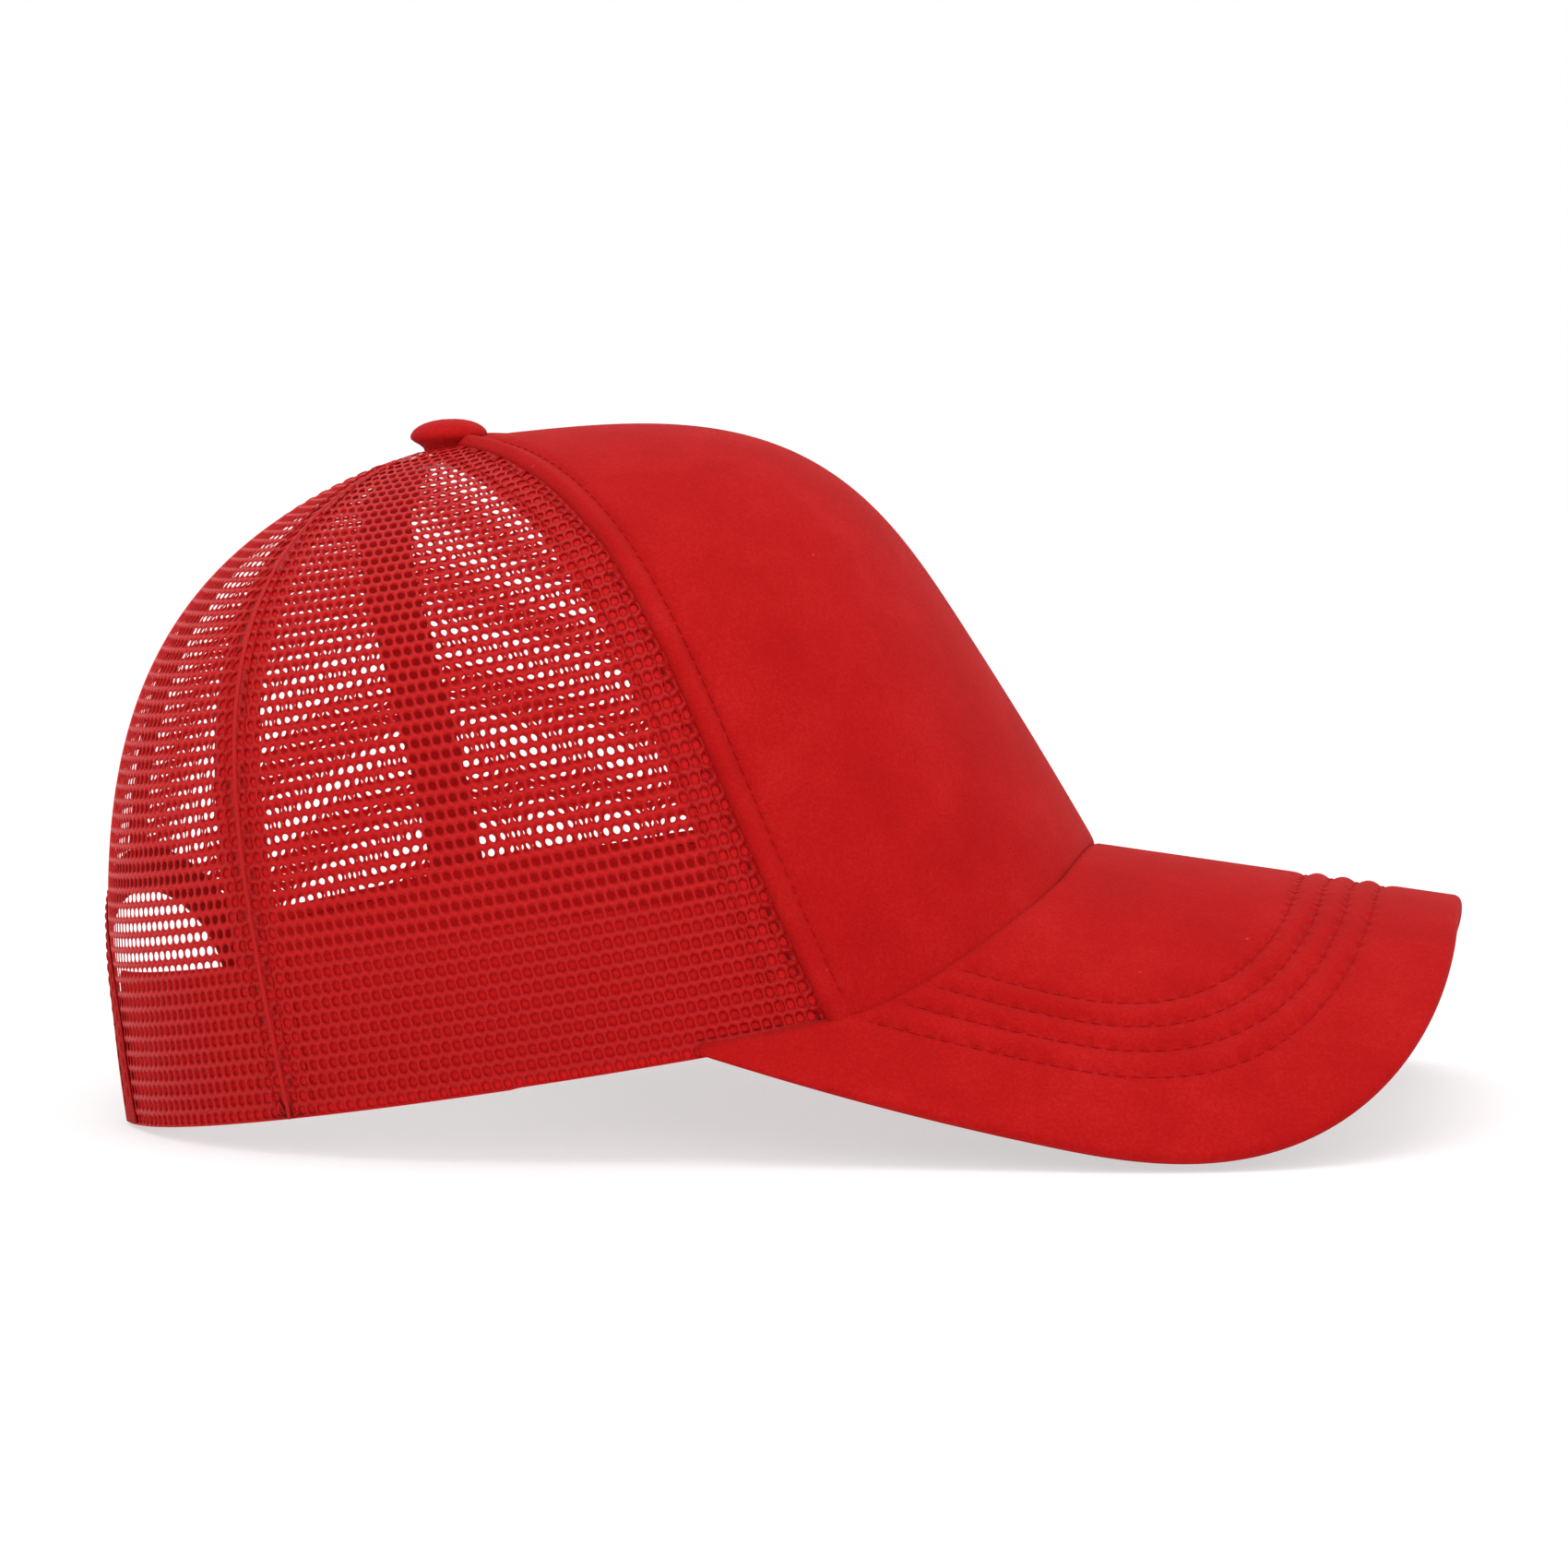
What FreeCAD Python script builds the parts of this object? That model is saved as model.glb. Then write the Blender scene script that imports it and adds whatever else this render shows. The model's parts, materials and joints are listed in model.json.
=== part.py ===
import FreeCAD, Part
import math
import os

import Sketcher
from FreeCAD import Placement, Rotation, Vector

# Trucker mesh cap: a five-panel crown with a foam front, mesh sides and back, a curved brim and
# a plastic snap closure. Millimetres.
#
# The pieces are laid out in the cap frame: its origin is in the middle of the plane of the
# bottom edge, +X points forward over the brim, +Y to the wearer's left and +Z up. At the end the
# whole cap is tipped back until the brim and the rear edge stand on one surface, and is moved
# so that the origin lies on that surface under the middle of its box.

# ---------------------------------------------------------------- driving dimensions

DIMENSIONS = {
    # crown: reach and height of the bottom edge and of the top
    "front_reach": 114.0,
    "back_reach": 100.5,
    "side_reach": 88.0,
    "apex_height": 124.8,
    "apex_shift": -13.0,
    "front_boxiness": 0.03,
    "back_boxiness": 0.19,
    "edge_blend": 3.0,
    # seams, as angles round the crown from the front centre
    "front_seam_angle": 58.2,
    "side_seam_angle": 114.0,
    "side_seam_sweep": 24.8,
    # sheets of the crown
    "mesh_thickness": 1.0,
    "face_proud": 1.2,
    "face_thickness": 0.8,
    "foam_thickness": 2.75,
    "tape_thickness": 0.6,
    "tape_width": 12.0,
    "layer_gap": 0.05,
    "seam_gap": 0.15,
    # sweatband
    "band_depth": 2.7,
    "band_thickness": 1.4,
    "band_height": 31.5,
    "band_lift": 1.5,
    # rear arch
    "arch_half_width": 41.0,
    "arch_straight_height": 18.0,
    "arch_rise": 28.5,
    "binding_width": 9.0,
    "binding_proud": 0.7,
    "binding_lip": 0.7,
    # brim: a sheet that slopes down to the front and bends down to both sides
    "brim_slope": 17.0,
    "brim_radius": 80.0,
    "brim_side_drop": 3.0,
    "brim_taper": 0.001,
    "brim_root_x": 104.2,
    "brim_root_z": 22.5,
    "brim_widest_x": 100.0,
    "brim_half_width": 86.5,
    "brim_tip_x": 178.2,
    "brim_corner_x": 35.5,
    "brim_corner_width": 1.5,
    "brim_cover": 0.9,
    "brim_board": 1.6,
    "brim_inset": 2.2,
    "board_setback": 14.0,
    "board_corner_width": 3.0,
    # top button
    "button_radius": 8.0,
    "button_top": 6.4,
    "button_lift": 1.6,
    "button_wall": 1.0,
    "core_lift": 2.6,
    "stem_radius": 1.4,
    "stem_depth": 5.0,
    "washer_radius": 6.0,
    "washer_thickness": 0.8,
    # snap closure
    "strap_centre_x": 7.1,
    "strap_height": 16.0,
    "strap_middle_z": 10.5,
    "strap_thickness": 1.2,
    "strap_corner": 5.0,
    "hole_strap_radius": 101.5,
    "peg_strap_radius": 99.9,
    "hinge_angle": 21.0,
    "tab_end_angle": 30.0,
    "hinge_clearance": 0.3,
    "overlap_angle": 10.0,
    "snap_pitch_angle": 4.75,
    "snap_number": 6.0,
    "peg_radius": 2.0,
    "peg_tip_radius": 1.45,
    "peg_height": 2.4,
    "hole_radius": 2.45,
}

# The crown's meridians are Bezier curves from the apex to the bottom edge. Each row is one
# control level: shift of its oval along X, reach to the front, back and side, height at the
# front, side and back, and how far the oval is boxed out. The first and last rows come from
# the driving dimensions.
CROWN_LEVELS = [
    (-12.0, 41.5, 34.0, 35.0, 121.2, 123.5, 121.0, 0.0),
    (-8.0, 92.0, 80.0, 78.0, 126.1, 94.0, 107.8, 0.5),
    (-3.0, 82.8, 92.3, 102.0, 77.5, 75.0, 67.6, 1.0),
]
BRIM_FRONT_EXPONENT = 2.6
BRIM_SIDE_EXPONENT = 3.0
TOP_OF_PANELS = 0.03
TOP_OF_TAPES = 0.12
NORMAL_STEP = 0.002
RIGHT = -1
LEFT = 1

doc = FreeCAD.newDocument("TruckerCap")
sheet = doc.addObject("Spreadsheet::Sheet", "Dimensions")
for row, (alias, value) in enumerate(DIMENSIONS.items(), start=1):
    sheet.set("A%d" % row, alias)
    sheet.set("B%d" % row, str(value))
    sheet.setAlias("B%d" % row, alias)
doc.recompute()


def dim(alias):
    return float(sheet.get(alias))


# ---------------------------------------------------------------- crown surface


def crown_levels():
    apex = dim("apex_height")
    first = (dim("apex_shift"), 0.0, 0.0, 0.0, apex, apex, apex, 0.0)
    last = (0.0, dim("front_reach"), dim("back_reach"), dim("side_reach"), 0.0, 0.0, 0.0, 1.0)
    return [first] + CROWN_LEVELS + [last]


LEVELS = crown_levels()
DEGREE = len(LEVELS) - 1
FRONT_BOXINESS = dim("front_boxiness")
BACK_BOXINESS = dim("back_boxiness")


def crown_point(angle, fall):
    """Point of the crown's surface. angle is measured round from the front centre in radians,
    and fall runs from 0 at the apex to 1 in the plane of the bottom edge."""
    cosine = math.cos(angle)
    sine = math.sin(angle)
    point = Vector(0, 0, 0)
    for k, (shift, front, back, side, z_front, z_side, z_back, boxed) in enumerate(LEVELS):
        weight = math.comb(DEGREE, k) * fall**k * (1 - fall) ** (DEGREE - k)
        reach = front if cosine > 0 else back
        boxiness = FRONT_BOXINESS if cosine > 0 else BACK_BOXINESS
        z_end = z_front if cosine > 0 else z_back
        x = shift + reach * cosine * (1 + boxed * boxiness * sine**2)
        z = z_side + (z_end - z_side) * cosine**2
        point += Vector(x, side * sine, z) * weight
    return point


def crown_at(angle, fall, proud=0.0):
    """The same point, moved out of the surface by proud, or into the cap where it is negative."""
    point = crown_point(angle, fall)
    if proud == 0.0:
        return point
    round_about = crown_point(angle + NORMAL_STEP, fall) - crown_point(angle - NORMAL_STEP, fall)
    downward = crown_point(angle, fall + NORMAL_STEP) - crown_point(angle, fall - NORMAL_STEP)
    normal = downward.cross(round_about)
    normal.normalize()
    return point + normal * proud


def brim_z(x, y):
    """Height of the brim's top surface over a point of the plan."""
    forward = x - dim("brim_root_x")
    drop = forward * math.tan(math.radians(dim("brim_slope")))
    bend = y**2 / (2 * dim("brim_radius")) + dim("brim_side_drop") * (y / dim("brim_half_width")) ** 4
    return dim("brim_root_z") - drop - bend * (1 + dim("brim_taper") * forward)


def soft_maximum(a, b, blend):
    """The larger of two heights, rounded over where they cross."""
    return 0.5 * (a + b + math.sqrt((a - b) ** 2 + blend**2) - blend * math.exp(-abs(a - b) / blend))


def bottom_fall(angle):
    """Where a meridian meets the bottom edge of the crown, which is flat behind the brim's
    corners and rises over the brim in front of them."""
    if math.cos(angle) < 0:
        return 1.0
    high, low = 0.5, 1.0
    for _ in range(40):
        middle = (high + low) / 2
        point = crown_at(angle, middle, dim("face_proud"))
        over_brim = soft_maximum(brim_z(point.x, point.y), 0.0, dim("edge_blend"))
        ahead = (point.x - dim("brim_corner_x")) / dim("edge_blend")
        edge = over_brim * min(max(ahead, 0.0), 1.0)
        if point.z > edge:
            high = middle
        else:
            low = middle
    return (high + low) / 2


def fall_above_edge(angle, height):
    """Where a meridian is height above the bottom edge, measured along the surface."""
    fall = bottom_fall(angle)
    point = crown_point(angle, fall)
    length = 0.0
    while length < height:
        fall -= NORMAL_STEP
        above = crown_point(angle, fall)
        length += (above - point).Length
        point = above
    return fall


def front_seam(fall):
    return math.radians(dim("front_seam_angle"))


def side_seam(fall):
    return math.radians(dim("side_seam_angle") + dim("side_seam_sweep") * (1 - fall) ** 2)


def back_seam(fall):
    return math.pi


def beside(seam, distance):
    """A line on the crown that runs at a distance behind a seam, or before it if negative."""

    def line(fall):
        angle = seam(fall)
        step = crown_point(angle + NORMAL_STEP, fall) - crown_point(angle - NORMAL_STEP, fall)
        return angle + distance / (step.Length / (2 * NORMAL_STEP))

    return line


# ---------------------------------------------------------------- sheets as solids


def surface_through(points):
    surface = Part.BSplineSurface()
    surface.interpolate(points)
    return surface


def closed_sheet(outer_points, inner_points):
    """A solid between two grids of points, closed by ruled walls along its four edges."""
    outer = surface_through(outer_points)
    inner = surface_through(inner_points)
    faces = [outer.toShape(), inner.toShape()]
    u0, u1, v0, v1 = outer.bounds()
    s0, s1, t0, t1 = inner.bounds()
    pairs = [
        (outer.uIso(u0), inner.uIso(s0)),
        (outer.uIso(u1), inner.uIso(s1)),
        (outer.vIso(v0), inner.vIso(t0)),
        (outer.vIso(v1), inner.vIso(t1)),
    ]
    for outer_edge, inner_edge in pairs:
        faces.append(Part.makeRuledSurface(outer_edge.toShape(), inner_edge.toShape()))
    shell = Part.makeShell(faces)
    shell.sewShape()
    solid = Part.makeSolid(Part.Shell(shell.Faces))
    if solid.Volume < 0:
        solid.reverse()
    return solid


def crown_sheet(side, start, stop, top, bottom, proud, thickness, columns, rows):
    """A sheet that follows the crown: from line start to line stop, which give an angle for a
    fall, and from top to bottom, which give a fall for an angle. side mirrors it."""

    def grid(level):
        points = []
        for i in range(columns):
            column = []
            across = i / (columns - 1)
            for j in range(rows):
                down = j / (rows - 1)
                fall = TOP_OF_PANELS + (1 - TOP_OF_PANELS) * down
                for _ in range(3):
                    angle = start(fall) + (stop(fall) - start(fall)) * across
                    high = top(angle)
                    fall = high + (bottom(angle) - high) * down
                point = crown_at(angle, fall, level)
                column.append(Vector(point.x, side * point.y, point.z))
            points.append(column)
        return points

    return closed_sheet(grid(proud), grid(proud - thickness))


def always(value):
    """A line at one angle, or an edge at one fall, all the way."""
    return lambda _: value


def add_feature(name, shape):
    feature = doc.addObject("Part::Feature", name)
    feature.Shape = shape
    feature.Label = name
    return feature


def add_boolean(kind, name, base, tool):
    feature = doc.addObject("Part::" + kind, name)
    feature.Base = base
    feature.Tool = tool
    feature.Label = name
    return feature


PARTS = []


def keep(feature):
    PARTS.append(feature)
    return feature


# ---------------------------------------------------------------- front panel


def front_start(fall):
    return -front_seam(fall)


def add_front_panel():
    proud = dim("face_proud")
    cloth = dim("face_thickness")
    below = proud - cloth - dim("layer_gap")
    layers = [("front_panel_face", proud, cloth), ("front_panel_foam", below, dim("foam_thickness"))]
    for name, level, thickness in layers:
        shape = crown_sheet(
            LEFT, front_start, front_seam, always(TOP_OF_PANELS), bottom_fall, level, thickness, 19, 15
        )
        keep(add_feature(name, shape))


# ---------------------------------------------------------------- rear arch


def add_arch_prism(name, margin):
    """The opening's outline as a bar along X, grown by margin: straight sides below, half an
    ellipse above."""
    length = 60.0
    ellipse = doc.addObject("Part::Ellipse", name + "_outline")
    ellipse.setExpression("MajorRadius", "Dimensions.arch_half_width + (%s)" % margin)
    ellipse.setExpression("MinorRadius", "Dimensions.arch_rise + (%s)" % margin)
    ellipse.Placement = Placement(
        Vector(-dim("back_reach") - length / 2, 0, dim("arch_straight_height")),
        Rotation(Vector(0, 1, 0), Vector(0, 0, 1), Vector(1, 0, 0), "XYZ"),
    )
    dome = doc.addObject("Part::Extrusion", name + "_dome")
    dome.Base = ellipse
    dome.DirMode = "Custom"
    dome.Dir = Vector(1, 0, 0)
    dome.LengthFwd = length
    dome.Solid = True
    legs = doc.addObject("Part::Box", name + "_legs")
    legs.Length = length
    legs.setExpression("Width", "2 * (Dimensions.arch_half_width + (%s))" % margin)
    legs.setExpression("Height", "Dimensions.arch_straight_height * 2")
    legs.setExpression("Placement.Base.x", "-Dimensions.back_reach - %g" % (length / 2))
    legs.setExpression("Placement.Base.y", "-(Dimensions.arch_half_width + (%s))" % margin)
    legs.setExpression("Placement.Base.z", "-Dimensions.arch_straight_height")
    return add_boolean("Fuse", name, dome, legs)


# ---------------------------------------------------------------- mesh panels


def add_mesh_panels(arch):
    gap = dim("seam_gap")
    thickness = dim("mesh_thickness")
    top = always(TOP_OF_PANELS)
    for side, word in ((RIGHT, "right"), (LEFT, "left")):
        side_panel = crown_sheet(
            side, beside(front_seam, gap), beside(side_seam, -gap), top, bottom_fall, 0, thickness, 13, 15
        )
        keep(add_feature("side_mesh_" + word, side_panel))
        back_panel = crown_sheet(
            side, beside(side_seam, gap), beside(back_seam, -gap), top, bottom_fall, 0, thickness, 13, 15
        )
        stock = add_feature("back_mesh_stock_" + word, back_panel)
        keep(add_boolean("Cut", "back_mesh_" + word, stock, arch))


# ---------------------------------------------------------------- seam tapes


def add_seam_tapes(arch_outside):
    depth = -dim("mesh_thickness") - dim("layer_gap")
    thickness = dim("tape_thickness")
    gap = dim("seam_gap")
    width = dim("tape_width")
    top = always(TOP_OF_TAPES)
    for side, word in ((RIGHT, "right"), (LEFT, "left")):
        front = crown_sheet(
            side, beside(front_seam, gap), beside(front_seam, gap + width * 0.75), top, bottom_fall,
            depth, thickness, 4, 15,
        )
        keep(add_feature("front_seam_tape_" + word, front))
        middle = crown_sheet(
            side, beside(side_seam, -width / 2), beside(side_seam, width / 2), top, bottom_fall,
            depth, thickness, 4, 15,
        )
        keep(add_feature("side_seam_tape_" + word, middle))
    back = crown_sheet(
        LEFT, beside(back_seam, -width / 2), beside(back_seam, width / 2), top, bottom_fall,
        depth, thickness, 4, 15,
    )
    stock = add_feature("back_seam_tape_stock", back)
    keep(add_boolean("Cut", "back_seam_tape", stock, arch_outside))


# ---------------------------------------------------------------- arch binding


def add_arch_binding(arch, arch_outside):
    """A folded strip round the opening: both legs grip the mesh, whose edge lies in the fold."""
    reach = dim("arch_half_width") + 2 * dim("binding_width")
    proud = dim("binding_proud")
    gap = dim("layer_gap")
    mesh = dim("mesh_thickness")
    height = dim("arch_straight_height") + dim("arch_rise") + 2 * dim("binding_width")

    def top(angle):
        return fall_above_edge(angle, height)

    def sheet_between(level, thickness):
        return crown_sheet(
            LEFT, beside(back_seam, -reach), beside(back_seam, reach), top, bottom_fall,
            level, thickness, 17, 9,
        )

    stock = add_feature("binding_stock", sheet_between(proud, 2 * proud + mesh))
    outside = add_boolean("Common", "binding_outside", stock, arch_outside)
    inside = add_arch_prism("binding_inside", "-Dimensions.binding_lip")
    ring = add_boolean("Cut", "binding_ring", outside, inside)
    filling = add_feature("binding_filling", sheet_between(gap, mesh + 2 * gap))
    slot = add_boolean("Cut", "binding_slot", filling, arch)
    return keep(add_boolean("Cut", "arch_binding", ring, slot))


# ---------------------------------------------------------------- sweatband


def add_sweatband(arch_margin):
    """The band starts a little above the bottom edge and ends under the arch's binding."""
    stop = math.radians(163.0)

    def top(angle):
        return fall_above_edge(angle, dim("band_height"))

    def bottom(angle):
        return fall_above_edge(angle, dim("band_lift"))

    shape = crown_sheet(
        LEFT, always(-stop), always(stop), top, bottom, -dim("band_depth"), dim("band_thickness"), 61, 6
    )
    stock = add_feature("sweatband_stock", shape)
    return keep(add_boolean("Cut", "sweatband", stock, arch_margin))


# ---------------------------------------------------------------- brim


def brim_at(x, y, depth):
    """A point below the brim's top surface, measured square to it."""
    step = 0.5
    along_x = Vector(2 * step, 0, brim_z(x + step, y) - brim_z(x - step, y))
    along_y = Vector(0, 2 * step, brim_z(x, y + step) - brim_z(x, y - step))
    normal = along_x.cross(along_y)
    normal.normalize()
    return Vector(x, y, brim_z(x, y)) - normal * depth


def evenly_spaced(points, number):
    """Points at equal steps along a polyline."""
    lengths = [0.0]
    for start, end in zip(points, points[1:]):
        lengths.append(lengths[-1] + (end - start).Length)
    spaced = []
    k = 0
    for i in range(number):
        wanted = lengths[-1] * i / (number - 1)
        while k < len(points) - 2 and lengths[k + 1] < wanted:
            k += 1
        share = (wanted - lengths[k]) / (lengths[k + 1] - lengths[k])
        spaced.append(points[k] + (points[k + 1] - points[k]) * share)
    return spaced


def brim_seam(setback, margin, columns):
    """Plan of the brim's rear edge along the crown, from the wearer's right to the left. setback
    moves its ends forward, and margin moves the whole line into the crown."""
    proud = dim("face_proud") + dim("layer_gap") - margin
    corner_angle = math.acos((dim("brim_corner_x") + setback) / dim("front_reach"))
    seam = []
    for i in range(columns):
        angle = corner_angle * (2 * i / (columns - 1) - 1)
        point = crown_at(angle, bottom_fall(angle), proud)
        seam.append(Vector(point.x, point.y, 0))
    return seam


def brim_edge(corner, corner_width, inset, columns):
    """Plan of the brim's outer edge, moved in by inset: it leaves each rear corner in a shallow
    curve up to the widest point, and runs round the front as a superellipse."""
    widest_x = dim("brim_widest_x")
    reach = dim("brim_tip_x") - widest_x - inset
    half_width = dim("brim_half_width") - inset
    start = Vector(corner.x + corner_width / 2, corner.y + corner_width, 0)
    half = []
    back_steps = 60
    for i in range(back_steps):
        along = i / back_steps
        x = start.x + (widest_x - start.x) * along
        y = start.y + (half_width - start.y) * (1 - (1 - along) ** 2)
        half.append(Vector(x, y, 0))
    turn_steps = 240
    for i in range(turn_steps + 1):
        turn = math.pi / 2 * i / turn_steps
        x = widest_x + reach * math.sin(turn) ** (2 / BRIM_FRONT_EXPONENT)
        y = half_width * max(math.cos(turn), 0.0) ** (2 / BRIM_SIDE_EXPONENT)
        half.append(Vector(x, y, 0))
    other_side = [Vector(point.x, -point.y, 0) for point in half[:-1]]
    return evenly_spaced(other_side + half[::-1], columns)


def brim_plate(depth, thickness, inset=0.0, setback=0.0, margin=0.0, corner_width=None):
    """A bent plate between two depths below the brim's top surface."""
    columns = 41
    rows = 7
    seam = brim_seam(setback, margin, columns)
    width = dim("brim_corner_width") if corner_width is None else corner_width
    edge = brim_edge(brim_seam(setback, 0.0, 3)[-1], width, inset, columns)

    def grid(level):
        points = []
        for back, front in zip(seam, edge):
            column = []
            for j in range(rows):
                plan = back + (front - back) * (j / (rows - 1))
                column.append(brim_at(plan.x, plan.y, level))
            points.append(column)
        return points

    return closed_sheet(grid(depth), grid(depth + thickness))


def add_brim():
    """Two cloth covers that meet round the rim, with the stiff board between them."""
    cover = dim("brim_cover")
    board = dim("brim_board")
    gap = dim("layer_gap")
    inset = dim("brim_inset")
    setback = dim("board_setback")
    corner_width = dim("board_corner_width")
    fit = dim("seam_gap")
    half = cover + gap + board / 2
    over = add_feature("brim_over_blank", brim_plate(0.0, half))
    under = add_feature("brim_under_blank", brim_plate(half + gap, half - gap))
    pocket_shape = brim_plate(cover, board + 2 * gap, inset, setback, 3.0, corner_width)
    pocket = add_feature("brim_pocket", pocket_shape)
    keep(add_boolean("Cut", "brim_top_cover", over, pocket))
    keep(add_boolean("Cut", "brim_under_cover", under, pocket))
    board_shape = brim_plate(
        cover + gap, board, inset + fit, setback + fit, 0.0, corner_width - fit
    )
    keep(add_feature("brim_board", board_shape))


# ---------------------------------------------------------------- top button


def origin_plane(body, role):
    for feature in body.Origin.OriginFeatures:
        if feature.Role == role:
            return feature
    raise ValueError(role)


def add_disc_pad(body, name, length, reverse, circles):
    """Pads one or two circles about the body's axis. circles maps a constraint's name to the
    expression for its radius."""
    sketch = body.newObject("Sketcher::SketchObject", name + "_sketch")
    sketch.AttachmentSupport = (origin_plane(body, "XY_Plane"), [""])
    sketch.MapMode = "FlatFace"
    for size, (constraint, expression) in enumerate(circles.items(), start=1):
        circle = Part.Circle(Vector(0, 0, 0), Vector(0, 0, 1), size)
        index = sketch.addGeometry(circle)
        sketch.addConstraint(Sketcher.Constraint("Coincident", index, 3, -1, 1))
        radius = sketch.addConstraint(Sketcher.Constraint("Radius", index, float(size)))
        sketch.renameConstraint(radius, constraint)
        sketch.setExpression("Constraints." + constraint, expression)
    pad = body.newObject("PartDesign::Pad", name)
    pad.Profile = sketch
    pad.setExpression("Length", length)
    pad.Reversed = reverse
    return sketch


def at_apex(height):
    return Placement(Vector(dim("apex_shift"), 0, dim("apex_height") + height), Rotation())


def add_button():
    """A cloth-covered dome over a core, whose stem runs through the panel tips to a washer."""
    domes = []
    for word, inward in (("outer", "0"), ("inner", "Dimensions.button_wall")):
        dome = doc.addObject("Part::Ellipsoid", "button_dome_" + word)
        middle = "(Dimensions.button_top + Dimensions.button_lift) / 2 - 0.6"
        dome.setExpression("Radius1", "Dimensions.button_top - (%s) - %s" % (middle, inward))
        dome.setExpression("Radius2", "Dimensions.button_radius - " + inward)
        dome.setExpression("Radius3", "Dimensions.button_radius - " + inward)
        dome.Angle1 = -90
        dome.Placement = at_apex((dim("button_top") + dim("button_lift")) / 2 - 0.6)
        domes.append(dome)
    shell = add_boolean("Cut", "button_shell", domes[0], domes[1])
    trim = doc.addObject("Part::Cylinder", "button_trim")
    trim.setExpression("Radius", "Dimensions.button_radius + 1")
    trim.Height = 10
    trim.Placement = at_apex(dim("button_lift") - 10)
    keep(add_boolean("Cut", "button_cap", shell, trim))

    core = doc.addObject("PartDesign::Body", "button_core")
    core.Label = "button_core"
    stem = {"stem": "Dimensions.stem_radius"}
    add_disc_pad(core, "core_disc", "Dimensions.button_wall", False, {"disc": "Dimensions.washer_radius"})
    add_disc_pad(core, "core_stem", "Dimensions.stem_depth + Dimensions.core_lift", True, stem)
    core.Placement = at_apex(dim("core_lift"))
    keep(core)

    washer = doc.addObject("PartDesign::Body", "button_washer")
    washer.Label = "button_washer"
    circles = {"bore": "Dimensions.stem_radius + 0.1", "rim": "Dimensions.washer_radius"}
    add_disc_pad(washer, "washer_disc", "Dimensions.washer_thickness", True, circles)
    washer.Placement = at_apex(-dim("foam_thickness") - dim("band_thickness"))
    keep(washer)


# ---------------------------------------------------------------- snap closure
#
# Angles here are measured about the straps' common centre from the middle of the back, and are
# positive towards the wearer's right.


def strap_placement(angle, z):
    return Placement(Vector(dim("strap_centre_x"), 0, z), Rotation(Vector(0, 0, 1), 180 + angle))


def radial_placement(angle, radius):
    """Local Z points outwards at that angle, at mid-height of the straps."""
    turn = strap_placement(angle, dim("strap_middle_z"))
    return turn.multiply(Placement(Vector(radius, 0, 0), Rotation(Vector(0, 1, 0), 90)))


def add_sector(name, radius, start, stop):
    """A strap-high slice of a ring between two angles."""
    bottom = dim("strap_middle_z") - dim("strap_height") / 2
    cylinders = []
    for word, inward in (("outer", "0"), ("inner", "Dimensions.strap_thickness")):
        cylinder = doc.addObject("Part::Cylinder", "%s_%s" % (name, word))
        cylinder.setExpression("Radius", "Dimensions.%s - %s" % (radius, inward))
        cylinder.setExpression("Height", "Dimensions.strap_height")
        cylinder.Angle = stop - start
        cylinder.Placement = strap_placement(start, bottom)
        cylinders.append(cylinder)
    return add_boolean("Cut", name, cylinders[0], cylinders[1])


def add_rounded_end(name, strap, angle):
    """Rounds the two corners at a strap's free end."""
    doc.recompute()
    place = strap_placement(angle, 0)
    across = place.Rotation.multVec(Vector(0, 1, 0))
    edges = []
    for number, edge in enumerate(strap.Shape.Edges, start=1):
        middle = (edge.Vertexes[0].Point + edge.Vertexes[-1].Point) * 0.5
        on_end = abs((middle - place.Base).dot(across)) < 0.01
        if on_end and abs(edge.Length - dim("strap_thickness")) < 0.01:
            edges.append((number, dim("strap_corner"), dim("strap_corner")))
    fillet = doc.addObject("Part::Fillet", name)
    fillet.Base = strap
    fillet.Edges = edges
    return fillet


def add_strap(name, radius, hinge_side, snap_kind):
    """One strap: it runs from its hinge past the middle of the back, and has a row of snaps."""
    hinge = hinge_side * dim("hinge_angle")
    free = -hinge_side * dim("overlap_angle")
    band = add_sector(name + "_band", radius, min(hinge, free), max(hinge, free))
    rounded = add_rounded_end(name + "_rounded", band, free)
    knuckle = doc.addObject("Part::Cylinder", name + "_knuckle")
    knuckle.setExpression("Radius", "Dimensions.strap_thickness / 2")
    knuckle.setExpression("Height", "Dimensions.strap_height")
    bottom = dim("strap_middle_z") - dim("strap_height") / 2
    middle_radius = dim(radius) - dim("strap_thickness") / 2
    knuckle.Placement = strap_placement(hinge, bottom).multiply(
        Placement(Vector(middle_radius, 0, 0), Rotation())
    )
    blank = add_boolean("Fuse", name + "_blank", rounded, knuckle)
    snaps = []
    for i in range(int(dim("snap_number"))):
        angle = hinge_side * (dim("snap_pitch_angle") * (i - 1.5))
        snaps.append(snap_kind("%s_snap_%d" % (name, i + 1), angle, radius))
    row = doc.addObject("Part::MultiFuse", name + "_snaps")
    row.Shapes = snaps
    kind = "Fuse" if snap_kind is add_peg else "Cut"
    return keep(add_boolean(kind, name, blank, row))


def add_peg(name, angle, radius):
    sunk = dim("strap_thickness") / 2
    peg = doc.addObject("Part::Cone", name)
    peg.setExpression("Radius1", "Dimensions.peg_radius")
    peg.setExpression("Radius2", "Dimensions.peg_tip_radius")
    peg.setExpression("Height", "Dimensions.peg_height + Dimensions.strap_thickness / 2")
    peg.Placement = radial_placement(angle, dim(radius) - sunk)
    return peg


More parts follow.
